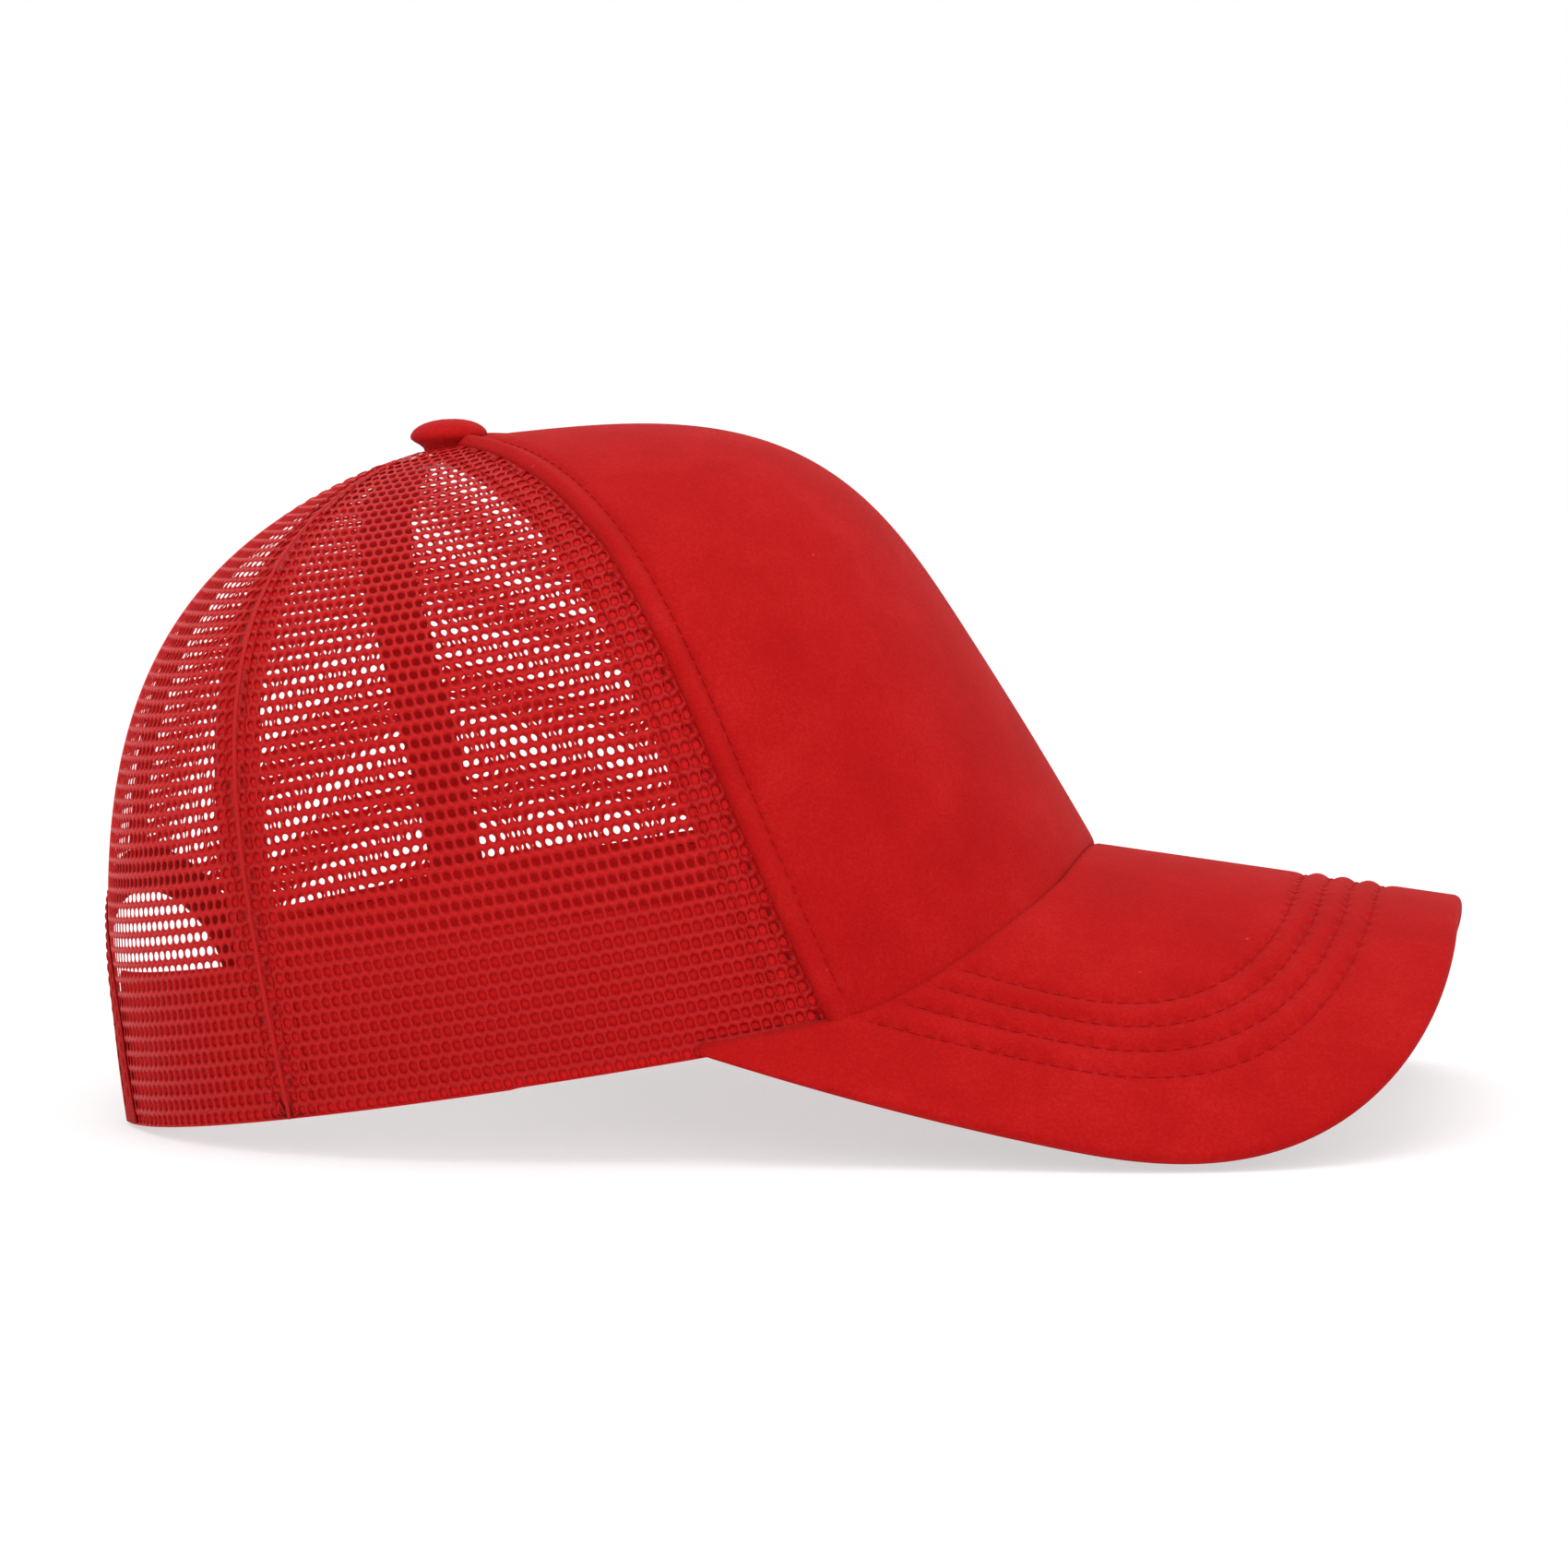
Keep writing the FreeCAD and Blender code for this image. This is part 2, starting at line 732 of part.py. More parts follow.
def add_hole(name, angle, radius):
    hole = doc.addObject("Part::Cylinder", name)
    hole.setExpression("Radius", "Dimensions.hole_radius")
    hole.setExpression("Height", "3 * Dimensions.strap_thickness")
    hole.Placement = radial_placement(angle, dim(radius) - 2 * dim("strap_thickness"))
    return hole


def add_tab(name, radius, side):
    """The strap's sewn end, which stays with the crown."""
    off_hinge = dim("strap_thickness") / 2 + dim("hinge_clearance")
    near = dim("hinge_angle") + math.degrees(off_hinge / dim(radius))
    start, stop = sorted((side * near, side * dim("tab_end_angle")))
    return keep(add_sector(name, radius, start, stop))


def add_closure():
    wearers_left = -1
    wearers_right = 1
    add_tab("hole_strap_tab", "hole_strap_radius", wearers_left)
    add_tab("peg_strap_tab", "peg_strap_radius", wearers_right)
    holed = add_strap("hole_strap", "hole_strap_radius", wearers_left, add_hole)
    pegged = add_strap("peg_strap", "peg_strap_radius", wearers_right, add_peg)
    return holed, pegged


# ---------------------------------------------------------------- the whole cap


def check_objects():
    for item in doc.Objects:
        if "Invalid" in item.State or "Error" in item.State:
            raise RuntimeError("%s: %s" % (item.Name, item.State))
    for part in PARTS:
        if part.Shape.isNull() or not part.Shape.isValid() or part.Shape.Volume <= 0:
            raise RuntimeError("%s has no valid shape" % part.Label)


def lowest(points, tilt):
    """Lowest height of some points once they are tipped back by tilt."""
    return min(point.z * math.cos(tilt) + point.x * math.sin(tilt) for point in points)


def rest_placement():
    """Tips the cap back until the brim and the rear edge touch one plane, and centres it."""
    points = {part.Label: part.Shape.tessellate(0.3)[0] for part in PARTS}
    brim = points["brim_under_cover"]
    rear = points["arch_binding"] + points["back_mesh_right"] + points["back_mesh_left"]
    shallow, steep = 0.0, math.radians(20)
    for _ in range(40):
        tilt = (shallow + steep) / 2
        if lowest(brim, tilt) < lowest(rear, tilt):
            shallow = tilt
        else:
            steep = tilt
    rotation = Rotation(Vector(0, 1, 0), -math.degrees(tilt))
    turned = [rotation.multVec(point) for cloud in points.values() for point in cloud]
    low = Vector(*[min(point[axis] for point in turned) for axis in range(3)])
    high = Vector(*[max(point[axis] for point in turned) for axis in range(3)])
    shift = Vector(-(low.x + high.x) / 2, -(low.y + high.y) / 2, -low.z)
    print("rest tilt", round(math.degrees(tilt), 3), "shift", [round(v, 3) for v in shift])
    print("box", [round(v, 2) for v in (high - low)])
    return Placement(shift, rotation)


def hinge_report(place):
    for name, side in (("hole_strap", -1), ("peg_strap", 1)):
        angle = side * dim("hinge_angle")
        radius = dim(name + "_radius") - dim("strap_thickness") / 2
        hinge = strap_placement(angle, dim("strap_middle_z")).multVec(Vector(radius, 0, 0))
        axis = place.Rotation.multVec(Vector(0, 0, 1))
        print(name, "hinge", [round(v, 3) for v in place.multVec(hinge)], [round(v, 5) for v in axis])


def main():
    arch = add_arch_prism("arch_opening", "0")
    arch_outside = add_arch_prism("arch_outside", "Dimensions.binding_width")
    arch_margin = add_arch_prism("arch_margin", "Dimensions.binding_width / 2")
    add_front_panel()
    add_mesh_panels(arch)
    add_seam_tapes(arch_outside)
    add_arch_binding(arch, arch_outside)
    add_sweatband(arch_margin)
    add_brim()
    add_button()
    holed, pegged = add_closure()
    doc.recompute()
    check_objects()
    if holed.Shape.Volume >= holed.Base.Shape.Volume:
        raise RuntimeError("the holes cut nothing")
    if pegged.Shape.Volume <= pegged.Base.Shape.Volume:
        raise RuntimeError("the pegs add nothing")

    place = rest_placement()
    for part in PARTS:
        part.Placement = place.multiply(part.Placement)
    doc.recompute()
    check_objects()
    hinge_report(place)
    os.makedirs("parts", exist_ok=True)
    for part in PARTS:
        part.Shape.exportStep("parts/%s.step" % part.Label)
        print(part.Label, round(part.Shape.Volume / 1000, 3), "cm3", len(part.Shape.Solids), "solid")


main()
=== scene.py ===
import json
import math

import bpy
import numpy as np
from mathutils import Matrix, Vector


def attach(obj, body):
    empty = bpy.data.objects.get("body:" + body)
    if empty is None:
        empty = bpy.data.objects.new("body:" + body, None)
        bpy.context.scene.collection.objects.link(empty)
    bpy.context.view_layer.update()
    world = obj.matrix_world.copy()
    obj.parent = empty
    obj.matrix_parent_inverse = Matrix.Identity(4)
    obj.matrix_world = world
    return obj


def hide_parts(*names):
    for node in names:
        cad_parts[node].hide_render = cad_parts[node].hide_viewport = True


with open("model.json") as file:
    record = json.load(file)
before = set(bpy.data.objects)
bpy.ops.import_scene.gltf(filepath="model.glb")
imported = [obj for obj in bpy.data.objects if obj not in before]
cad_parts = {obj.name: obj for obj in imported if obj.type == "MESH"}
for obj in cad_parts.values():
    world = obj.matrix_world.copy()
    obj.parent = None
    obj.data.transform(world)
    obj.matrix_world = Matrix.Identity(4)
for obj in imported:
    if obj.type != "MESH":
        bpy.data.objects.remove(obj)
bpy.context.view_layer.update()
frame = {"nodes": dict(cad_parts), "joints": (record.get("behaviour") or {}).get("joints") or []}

# The looks of a trucker mesh cap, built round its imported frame. Pieces are laid out in the cap
# frame, in millimetres: origin in the middle of the bottom edge's plane, +X over the brim, +Y to
# the wearer's left and +Z up. to_row() then tips them back to the rest pose, in metres.

LEFT = 1
RIGHT = -1
SIDES = ((RIGHT, "right"), (LEFT, "left"))

# ---------------------------------------------------------------- driving dimensions (mm, degrees)

# Bezier levels of the crown from the apex to the bottom edge: shift along X, reach to the front,
# back and side, height at the front, side and back, and how far the oval is boxed out.
CROWN_LEVELS = [
    (-13.0, 0.0, 0.0, 0.0, 124.8, 124.8, 124.8, 0.0),
    (-12.0, 41.5, 34.0, 35.0, 121.2, 123.5, 121.0, 0.0),
    (-8.0, 92.0, 80.0, 78.0, 126.1, 94.0, 107.8, 0.5),
    (-3.0, 82.8, 92.3, 102.0, 77.5, 75.0, 67.6, 1.0),
    (0.0, 114.0, 100.5, 88.0, 0.0, 0.0, 0.0, 1.0),
]
FRONT_BOXINESS = 0.03
BACK_BOXINESS = 0.19
APEX = (CROWN_LEVELS[0][0], CROWN_LEVELS[0][4])
CROWN_TOP = 0.03
CROWN_FOOT = (CROWN_LEVELS[-1][1], CROWN_LEVELS[-1][3])
FRONT_SEAM = math.radians(58.2)
SIDE_SEAM = math.radians(114.0)
SIDE_SEAM_SWEEP = math.radians(24.8)
EDGE_BLEND = 3.0

BRIM_SLOPE = math.tan(math.radians(17.0))
BRIM_RADIUS = 80.0
BRIM_SIDE_DROP = 3.0
BRIM_TAPER = 0.001
BRIM_ROOT = (104.2, 22.5)
BRIM_WIDEST_X = 100.0
BRIM_HALF_WIDTH = 86.5
BRIM_EDGE_INSET = 0.5
BRIM_TIP_X = 178.2
BRIM_CORNER_X = 35.5
BRIM_CORNER_WIDTH = 0.4
BRIM_SKEW = 0.035
BRIM_THICKNESS = 3.2
BRIM_EXPONENTS = (2.6, 3.0)

FACE_PROUD = 1.2
CLOTH_PROUD = 0.7
MESH_MIDDLE = -0.5
TAPE_WIDTH = 12.0
TAPE_FACES = (-0.72, -1.12)
ARCH_HALF_WIDTH = 41.0
ARCH_STRAIGHT = 18.0
ARCH_RISE = 25.7
ARCH_FOOT = 0.3
BINDING_WIDTH = 9.0

STRAP_CENTRE_X = 7.1
STRAP_MIDDLE_RADIUS = 100.9
STRAP_HINGE_ANGLE = math.radians(21.0)
STRAP_MIDDLE_Z = 10.5

# ---------------------------------------------------------------- rest pose, from the frame

HINGE = next(joint for joint in frame["joints"] if joint["name"] == "hole_strap_flex")
TILT = math.atan2(HINGE["axis"][0], -HINGE["axis"][2])


def turned(points):
    """Points of the cap frame, tipped back by the rest tilt about the cap's origin."""
    points = np.asarray(points, float)
    x, y, z = points[..., 0], points[..., 1], points[..., 2]
    c, s = math.cos(TILT), math.sin(TILT)
    return np.stack([x * c - z * s, y, x * s + z * c], -1)


HINGE_IN_CAP = (
    STRAP_CENTRE_X - STRAP_MIDDLE_RADIUS * math.cos(STRAP_HINGE_ANGLE),
    STRAP_MIDDLE_RADIUS * math.sin(STRAP_HINGE_ANGLE),
    STRAP_MIDDLE_Z,
)
SHIFT = np.array(HINGE["pos_m"]) * 1000.0 - turned(HINGE_IN_CAP)


def to_row(points):
    return (turned(points) + SHIFT) / 1000.0


# ---------------------------------------------------------------- crown surface


def unit(vectors):
    return vectors / np.maximum(np.linalg.norm(vectors, axis=-1, keepdims=True), 1e-12)


def crown(angle, fall):
    """Points of the crown. angle runs round from the front centre, fall from the apex down."""
    angle, fall = np.broadcast_arrays(np.asarray(angle, float), np.asarray(fall, float))
    cosine, sine = np.cos(angle), np.sin(angle)
    front = cosine > 0
    boxiness = np.where(front, FRONT_BOXINESS, BACK_BOXINESS)
    degree = len(CROWN_LEVELS) - 1
    total = np.zeros(angle.shape + (3,))
    for k, (shift, ahead, behind, side, z_front, z_side, z_back, boxed) in enumerate(CROWN_LEVELS):
        weight = math.comb(degree, k) * fall**k * (1 - fall) ** (degree - k)
        reach = np.where(front, ahead, behind)
        x = shift + reach * cosine * (1 + boxed * boxiness * sine**2)
        z = z_side + (np.where(front, z_front, z_back) - z_side) * cosine**2
        total += np.stack([x, side * sine, z], -1) * weight[..., None]
    return total


def crown_normal(angle, fall):
    step = 0.002
    round_about = crown(angle + step, fall) - crown(angle - step, fall)
    downward = crown(angle, fall + step) - crown(angle, fall - step)
    return unit(np.cross(downward, round_about))


def crown_at(angle, fall, proud):
    """Points moved out of the crown by proud, or into the cap where it is negative."""
    angle, fall, proud = np.broadcast_arrays(angle, fall, np.asarray(proud, float))
    return crown(angle, fall) + crown_normal(angle, fall) * proud[..., None]


def brim_z(x, y):
    """Height of the brim's top surface over a point of the plan."""
    forward = x - BRIM_ROOT[0]
    bend = y**2 / (2 * BRIM_RADIUS) + BRIM_SIDE_DROP * (y / BRIM_HALF_WIDTH) ** 4
    return BRIM_ROOT[1] - forward * BRIM_SLOPE - bend * (1 + BRIM_TAPER * forward)


def soft_maximum(a, b, blend):
    gap = a - b
    return 0.5 * (a + b + np.sqrt(gap**2 + blend**2) - blend * np.exp(-np.abs(gap) / blend))


def bottom_fall(angle):
    """Where meridians meet the crown's bottom edge, which rises over the brim."""
    angle = np.asarray(angle, float)
    high, low = np.full(angle.shape, 0.5), np.ones(angle.shape)
    for _ in range(30):
        middle = (high + low) / 2
        point = crown_at(angle, middle, FACE_PROUD)
        over_brim = soft_maximum(brim_z(point[..., 0], point[..., 1]), 0.0, EDGE_BLEND)
        ahead = np.clip((point[..., 0] - BRIM_CORNER_X) / EDGE_BLEND, 0, 1)
        above = point[..., 2] > over_brim * ahead
        high, low = np.where(above, middle, high), np.where(above, low, middle)
    return np.where(np.cos(angle) < 0, 1.0, (high + low) / 2)


def front_seam(fall):
    return np.full(np.shape(fall), FRONT_SEAM)


def side_seam(fall):
    return SIDE_SEAM + SIDE_SEAM_SWEEP * (1 - np.asarray(fall, float)) ** 2


def back_seam(fall):
    return np.full(np.shape(fall), math.pi)


def beside(seam, distance):
    """A line on the crown at a distance behind a seam, or before it if negative."""

    def line(fall):
        angle = seam(fall)
        step = 0.002
        length = np.linalg.norm(crown(angle + step, fall) - crown(angle - step, fall), axis=-1)
        return angle + distance / (length / (2 * step))

    return line


# ---------------------------------------------------------------- meshes


def lengths(grid, axis=0):
    """Distances along one axis of a grid of points, from its first points."""
    steps = np.linalg.norm(np.diff(grid, axis=axis), axis=-1)
    start = np.zeros_like(np.take(steps, [0], axis=axis))
    return np.concatenate([start, np.cumsum(steps, axis=axis)], axis=axis)


def placed(name, data):
    """A new object in the scene."""
    thing = bpy.data.objects.new(name, data)
    bpy.context.scene.collection.objects.link(thing)
    return thing


def mesh_object(name, points, faces, material, uv=None):
    """A mesh from points of the cap frame in mm. uv gives each point's place on its cloth."""
    mesh = bpy.data.meshes.new(name)
    mesh.from_pydata(to_row(points).tolist(), [], [list(face) for face in faces])
    if uv is not None:
        layer = mesh.uv_layers.new(name="cloth")
        corners = np.empty(len(mesh.loops), np.int32)
        mesh.loops.foreach_get("vertex_index", corners)
        layer.data.foreach_set("uv", np.asarray(uv, np.float32)[corners].ravel())
    mesh.polygons.foreach_set("use_smooth", [True] * len(mesh.polygons))
    mesh.materials.append(material)
    mesh.update()
    return placed(name, mesh)


def grid_faces(columns, rows, start, flip):
    """Quads of a grid of points whose first index is the column."""
    i, j = np.meshgrid(np.arange(columns - 1), np.arange(rows - 1), indexing="ij")
    a = start + i * rows + j
    quads = np.stack([a, a + 1, a + rows + 1, a + rows], -1).reshape(-1, 4)
    return quads[:, ::-1] if flip else quads


def closed_grid(name, outer, inner, material, side=LEFT, uv=None):
    """A closed sheet between two grids of points. Column by column, seen from outside, the
    points run down and the columns run anticlockwise round the cap."""
    columns, rows = outer.shape[:2]
    points = np.concatenate([outer.reshape(-1, 3), inner.reshape(-1, 3)])
    offset = columns * rows
    ring = [(i, 0) for i in range(columns - 1, 0, -1)] + [(0, j) for j in range(rows - 1)]
    ring += [(i, rows - 1) for i in range(columns - 1)] + [(columns - 1, j) for j in range(rows - 1, 0, -1)]
    index = np.array([i * rows + j for i, j in ring])
    after = np.roll(index, -1)
    walls = np.stack([after, index, index + offset, after + offset], -1)
    faces = np.concatenate(
        [grid_faces(columns, rows, 0, False), grid_faces(columns, rows, offset, True), walls]
    )
    points = points * (1, side, 1)
    if side == RIGHT:
        faces = faces[:, ::-1]
    if uv is not None:
        uv = np.concatenate([uv.reshape(-1, 2)] * 2)
    return mesh_object(name, points, faces, material, uv)


def cloth_uv(grid):
    """Distances along a grid's middle row and middle column, in mm, as cloth coordinates."""
    across = lengths(grid[:, grid.shape[1] // 2])
    down = lengths(grid[grid.shape[0] // 2])
    return np.stack(np.meshgrid(across, down, indexing="ij"), -1)


def crown_sheet(name, angle, fall, outside, inside, material, side=LEFT, laid_out=False):
    """A closed sheet over part of the crown, between two distances from its surface."""
    outer = crown_at(angle, fall, outside)
    uv = cloth_uv(outer) if laid_out else None
    return closed_grid(name, outer, crown_at(angle, fall, inside), material, side, uv)


def tube_faces(count, length, sides):
    """Faces of closed tubes, each a row of rings with the same number of points."""
    k, j, i = np.meshgrid(np.arange(count), np.arange(length - 1), np.arange(sides), indexing="ij")
    base = (k * length + j) * sides
    beyond = (i + 1) % sides
    quads = np.stack([base + i, base + beyond, base + sides + beyond, base + sides + i], -1)
    faces = [list(face) for face in quads.reshape(-1, 4)]
    for first in range(0, count * length * sides, length * sides):
        last = first + (length - 1) * sides
        faces.append([first + i for i in range(sides - 1, -1, -1)])
        faces.append([last + i for i in range(sides)])
    return faces


def at_distances(path, wanted):
    length = lengths(path)
    return np.stack([np.interp(wanted, length, column) for column in path.T], -1)


def stepped(path, spacing):
    """Points every spacing along a polyline."""
    return at_distances(path, np.arange(0, lengths(path)[-1], spacing))


def divided(path, count):
    """A polyline again, as count points at equal distances."""
    return at_distances(path, np.linspace(0, lengths(path)[-1], count))


STITCH_LENGTH = 2.5
STITCH_GAP = 0.6
THREAD_RADIUS = 0.16


def stitch_spines(path, normals):
    """One short spine for each stitch along a path that lies on the cloth."""
    fine = 0.1
    both = stepped(np.concatenate([path, normals], axis=1), fine)
    pitch = int((STITCH_LENGTH + STITCH_GAP) / fine)
    held = np.array([0.0, 0.12, 0.5, 0.88, 1.0])
    lift = np.array([-1.0, 0.35, 0.8, 0.35, -1.0]) * THREAD_RADIUS
    starts = np.arange(0, len(both) - pitch, pitch)
    index = (starts[:, None] + held[None] * STITCH_LENGTH / fine).astype(int)
    return both[index, :3] + unit(both[index, 3:]) * lift[None, :, None]


def crown_stitches(angle, fall, proud, side):
    """Spines of a row of stitches along a line on the crown."""
    path = crown_at(angle, fall, proud) * (1, side, 1)
    return stitch_spines(path, crown_normal(angle, fall) * (1, side, 1))


def add_stitches(name, spines, slot):
    """Closed tubes of thread along spines, which are arrays (stitch, point, 3)."""
    spines, sides = np.concatenate(spines), 6
    radii = np.array([0.55, 0.9, 1.0, 0.9, 0.55]) * THREAD_RADIUS
    along = unit(np.gradient(spines, axis=1))
    across = unit(np.cross(along, np.broadcast_to((0.31, 0.17, 0.93), along.shape)))
    other = np.cross(along, across)
    turn = 2 * math.pi * np.arange(sides)[:, None] / sides
    ring = across[:, :, None] * np.cos(turn) + other[:, :, None] * np.sin(turn)
    points = spines[:, :, None] + ring * radii[:, None, None]
    faces = tube_faces(*spines.shape[:2], sides)
    dress(mesh_object(name, points.reshape(-1, 3), faces, THREAD), slot)


def dress(piece, slot, *nodes):
    """Puts a piece on the cap's own body, for the CAD nodes that it stands for."""
    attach(piece, "cap")
    if nodes:
        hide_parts(*nodes)
    return piece


# ---------------------------------------------------------------- materials

RED = (0.395, 0.0040, 0.0042)
DEEP_RED = (0.345, 0.0028, 0.0030)
PALE_RED = (0.445, 0.0090, 0.0092)
YARN_RED = (0.470, 0.0055, 0.0060)
# Painted light: the red of the cloth inside the cap is far brighter than the outer cloth's, to make up for
# the shade inside, so that it shows through the net about as bright as the strands.
PAINTED_LIGHT_INNER_RED = (0.720, 0.0100, 0.0110)


class Nodes:
    """A material's node tree, with short ways to add to it."""

    def __init__(self, name):
        self.material = bpy.data.materials.new(name)
        self.material.use_nodes = True
        self.tree = self.material.node_tree
        self.shader = self.tree.nodes["Principled BSDF"]

    def put(self, socket, value):
        """Feeds a socket from another one, or sets it to a value."""
        if isinstance(value, bpy.types.NodeSocket):
            self.tree.links.new(value, socket)
        else:
            socket.default_value = value

    def set(self, name, value):
        self.put(self.shader.inputs[name], value)

    def add(self, kind, inputs, **settings):
        node = self.tree.nodes.new(kind)
        for key, value in settings.items():
            setattr(node, key, value)
        for key, value in inputs.items():
            self.put(node.inputs[key], value)
        return node

    def place(self, kind="Object"):
        return self.add("ShaderNodeTexCoord", {}).outputs[kind]

    def noise(self, where, scale, detail=2.0, roughness=0.5):
        inputs = {"Vector": where, "Scale": scale, "Detail": detail, "Roughness": roughness}
        return self.add("ShaderNodeTexNoise", inputs).outputs["Fac"]

    def wave(self, where, scale, direction="X", distortion=0.0):
        inputs = {"Vector": where, "Scale": scale, "Distortion": distortion}
        settings = {"wave_type": "BANDS", "bands_direction": direction}
        return self.add("ShaderNodeTexWave", inputs, **settings).outputs["Fac"]

    def maths(self, operation, a, b):
        return self.add("ShaderNodeMath", {0: a, 1: b}, operation=operation).outputs[0]

    def ramp(self, factor, stops):
        node = self.add("ShaderNodeValToRGB", {"Fac": factor})
        elements = node.color_ramp.elements
        while len(elements) < len(stops):
            elements.new(0.5)
        for element, (position, colour) in zip(elements, stops):
            element.position = position
            element.color = (*colour, 1.0)
        return node.outputs["Color"]

    def colour(self, factor, stops):
        self.set("Base Color", self.ramp(factor, stops))

    def bump(self, heights):
        """Chains bumps: each entry is a height socket, a strength and a distance in metres."""
        chain = {}
        for height, strength, distance in heights:
            inputs = {"Strength": strength, "Distance": distance, "Height": height, **chain}
            chain = {"Normal": self.add("ShaderNodeBump", inputs).outputs["Normal"]}
        self.set("Normal", chain["Normal"])

    def finish(self, roughness, specular, sheen=0.0, sheen_tint=(1, 1, 1)):
        self.set("Roughness", roughness)
        self.set("Specular IOR Level", specular)
        self.set("Sheen Weight", sheen)
        self.set("Sheen Roughness", 0.45)
        self.set("Sheen Tint", (*sheen_tint, 1.0))
        return self.material


def brushed_cloth(name, puckered):
    """Brushed polyester cloth: a fine nap, soft mottling and a few specks of lint. Beside rows of
    stitching it is drawn into small puckers."""
    nodes = Nodes(name)
    where = nodes.place()
    mottling = nodes.noise(where, 60.0, 4.0, 0.6)
    nap = nodes.noise(where, 1600.0, 3.0, 0.7)
    lint = nodes.noise(where, 420.0, 1.0)
    tone = nodes.maths("ADD", nodes.maths("MULTIPLY", mottling, 0.45), nodes.maths("MULTIPLY", nap, 0.55))
    cloth = nodes.ramp(tone, [(0.36, DEEP_RED), (0.50, RED), (0.66, PALE_RED)])
    speck = nodes.ramp(lint, [(0.80, (0.0, 0.0, 0.0)), (0.84, (1.0, 1.0, 1.0))])
    inputs = {"Factor": speck, "A": cloth, "B": (0.50, 0.035, 0.035, 1.0)}
    mixed = nodes.add("ShaderNodeMix", inputs, data_type="RGBA")
    nodes.set("Base Color", mixed.outputs["Result"])
    bumps = [(nap, 0.5, 0.0004), (nodes.noise(where, 420.0, 2.0), 0.12, 0.0006)]
    if puckered:
        apart = nodes.add("ShaderNodeSeparateXYZ", {0: nodes.place("UV")})
        stray = nodes.maths("MULTIPLY", nodes.noise(where, 160.0, 2.0), 9.0)
        along = nodes.maths("ADD", nodes.maths("MULTIPLY", apart.outputs["X"], 1.5), stray)
        near = nodes.maths("POWER", 2.718, nodes.maths("MULTIPLY", apart.outputs["Y"], -1.7))
        pucker = nodes.maths("MULTIPLY", nodes.maths("SINE", along, 0.0), near)
        bumps.append((pucker, 0.8, 0.0006))
    nodes.bump(bumps)
    return nodes.finish(0.85, 0.08, 0.05, (1.0, 0.3, 0.3))


def net_yarn():
    """Glossy polyester yarn with its filaments' fine ribs, thin enough that light seeps through."""
    nodes = Nodes("net_yarn")
    filaments = nodes.noise(nodes.place(), 2600.0, 2.0, 0.6)
    nodes.colour(filaments, [(0.3, RED), (0.7, YARN_RED)])
    nodes.bump([(filaments, 0.5, 0.0002)])
    nodes.set("Subsurface Weight", 0.6)
    nodes.set("Subsurface Scale", 0.0012)
    nodes.set("Subsurface Radius", (1.0, 0.35, 0.35))
    return nodes.finish(0.45, 0.12)


def woven(name, pitch, colours, twill):
    """A woven cloth laid out by its own cloth coordinates, in mm."""
    nodes = Nodes(name)
    where = nodes.place("UV")
    warp = nodes.wave(where, 0.31 / pitch, "X")
    weft = nodes.wave(where, 0.31 / pitch, "DIAGONAL" if twill else "Y")
    weave = nodes.maths("MULTIPLY", warp, weft)
    fuzz = nodes.noise(nodes.place(), 2200.0, 2.0)
    tone = nodes.maths("ADD", nodes.maths("MULTIPLY", weave, 0.5), nodes.maths("MULTIPLY", fuzz, 0.5))
    nodes.colour(tone, [(0.15, colours[0]), (0.7, colours[1])])
    nodes.bump([(weave, 0.5, 0.0003), (fuzz, 0.3, 0.0002)])
    return nodes.finish(0.8, 0.1)


def open_foam():
    nodes = Nodes("open_foam")
    cells = nodes.add("ShaderNodeTexVoronoi", {"Vector": nodes.place(), "Scale": 1500.0})
    depth = cells.outputs["Distance"]
    # Painted light: the foam takes the brightened inner red, made brighter than the outer cloth to make up
    # for the shade inside the cap.
    nodes.colour(depth, [(0.1, PAINTED_LIGHT_INNER_RED), (0.8, (0.55, 0.007, 0.008))])
    nodes.bump([(depth, 0.5, 0.0004)])
    return nodes.finish(0.95, 0.1)


def thread():
    nodes = Nodes("thread")
    twist = nodes.wave(nodes.place(), 900.0, "DIAGONAL", 1.0)
    nodes.colour(twist, [(0.2, RED), (0.8, PALE_RED)])
    nodes.bump([(twist, 0.4, 0.0002)])
    return nodes.finish(0.7, 0.05)


def moulded_plastic():
    nodes = Nodes("moulded_plastic")
    where = nodes.place()
    grain = nodes.noise(where, 900.0, 3.0)
    flow = nodes.noise(where, 40.0, 2.0)
    nodes.colour(flow, [(0.3, DEEP_RED), (0.7, RED)])
    nodes.bump([(grain, 0.12, 0.0002)])
    nodes.set("Subsurface Weight", 0.08)
    nodes.set("Subsurface Radius", (0.002, 0.0006, 0.0005))
    return nodes.finish(0.32, 0.5)


def board_plastic():
    nodes = Nodes("moulded_board")
    grain = nodes.noise(nodes.place(), 700.0, 3.0)
    nodes.colour(grain, [(0.3, (0.76, 0.76, 0.73)), (0.7, (0.84, 0.84, 0.81))])
    nodes.bump([(grain, 0.2, 0.0002)])
    return nodes.finish(0.55, 0.4)


def pressed_steel():
    nodes = Nodes("pressed_steel")
    marks = nodes.noise(nodes.place(), 1800.0, 3.0)
    nodes.colour(marks, [(0.3, (0.48, 0.48, 0.49)), (0.7, (0.62, 0.62, 0.63))])
    nodes.set("Metallic", 1.0)
    nodes.bump([(marks, 0.15, 0.0001)])
    return nodes.finish(0.38, 0.5)


CLOTH = brushed_cloth("brushed_cloth", False)
QUILTED = brushed_cloth("quilted_cloth", True)
NET = net_yarn()
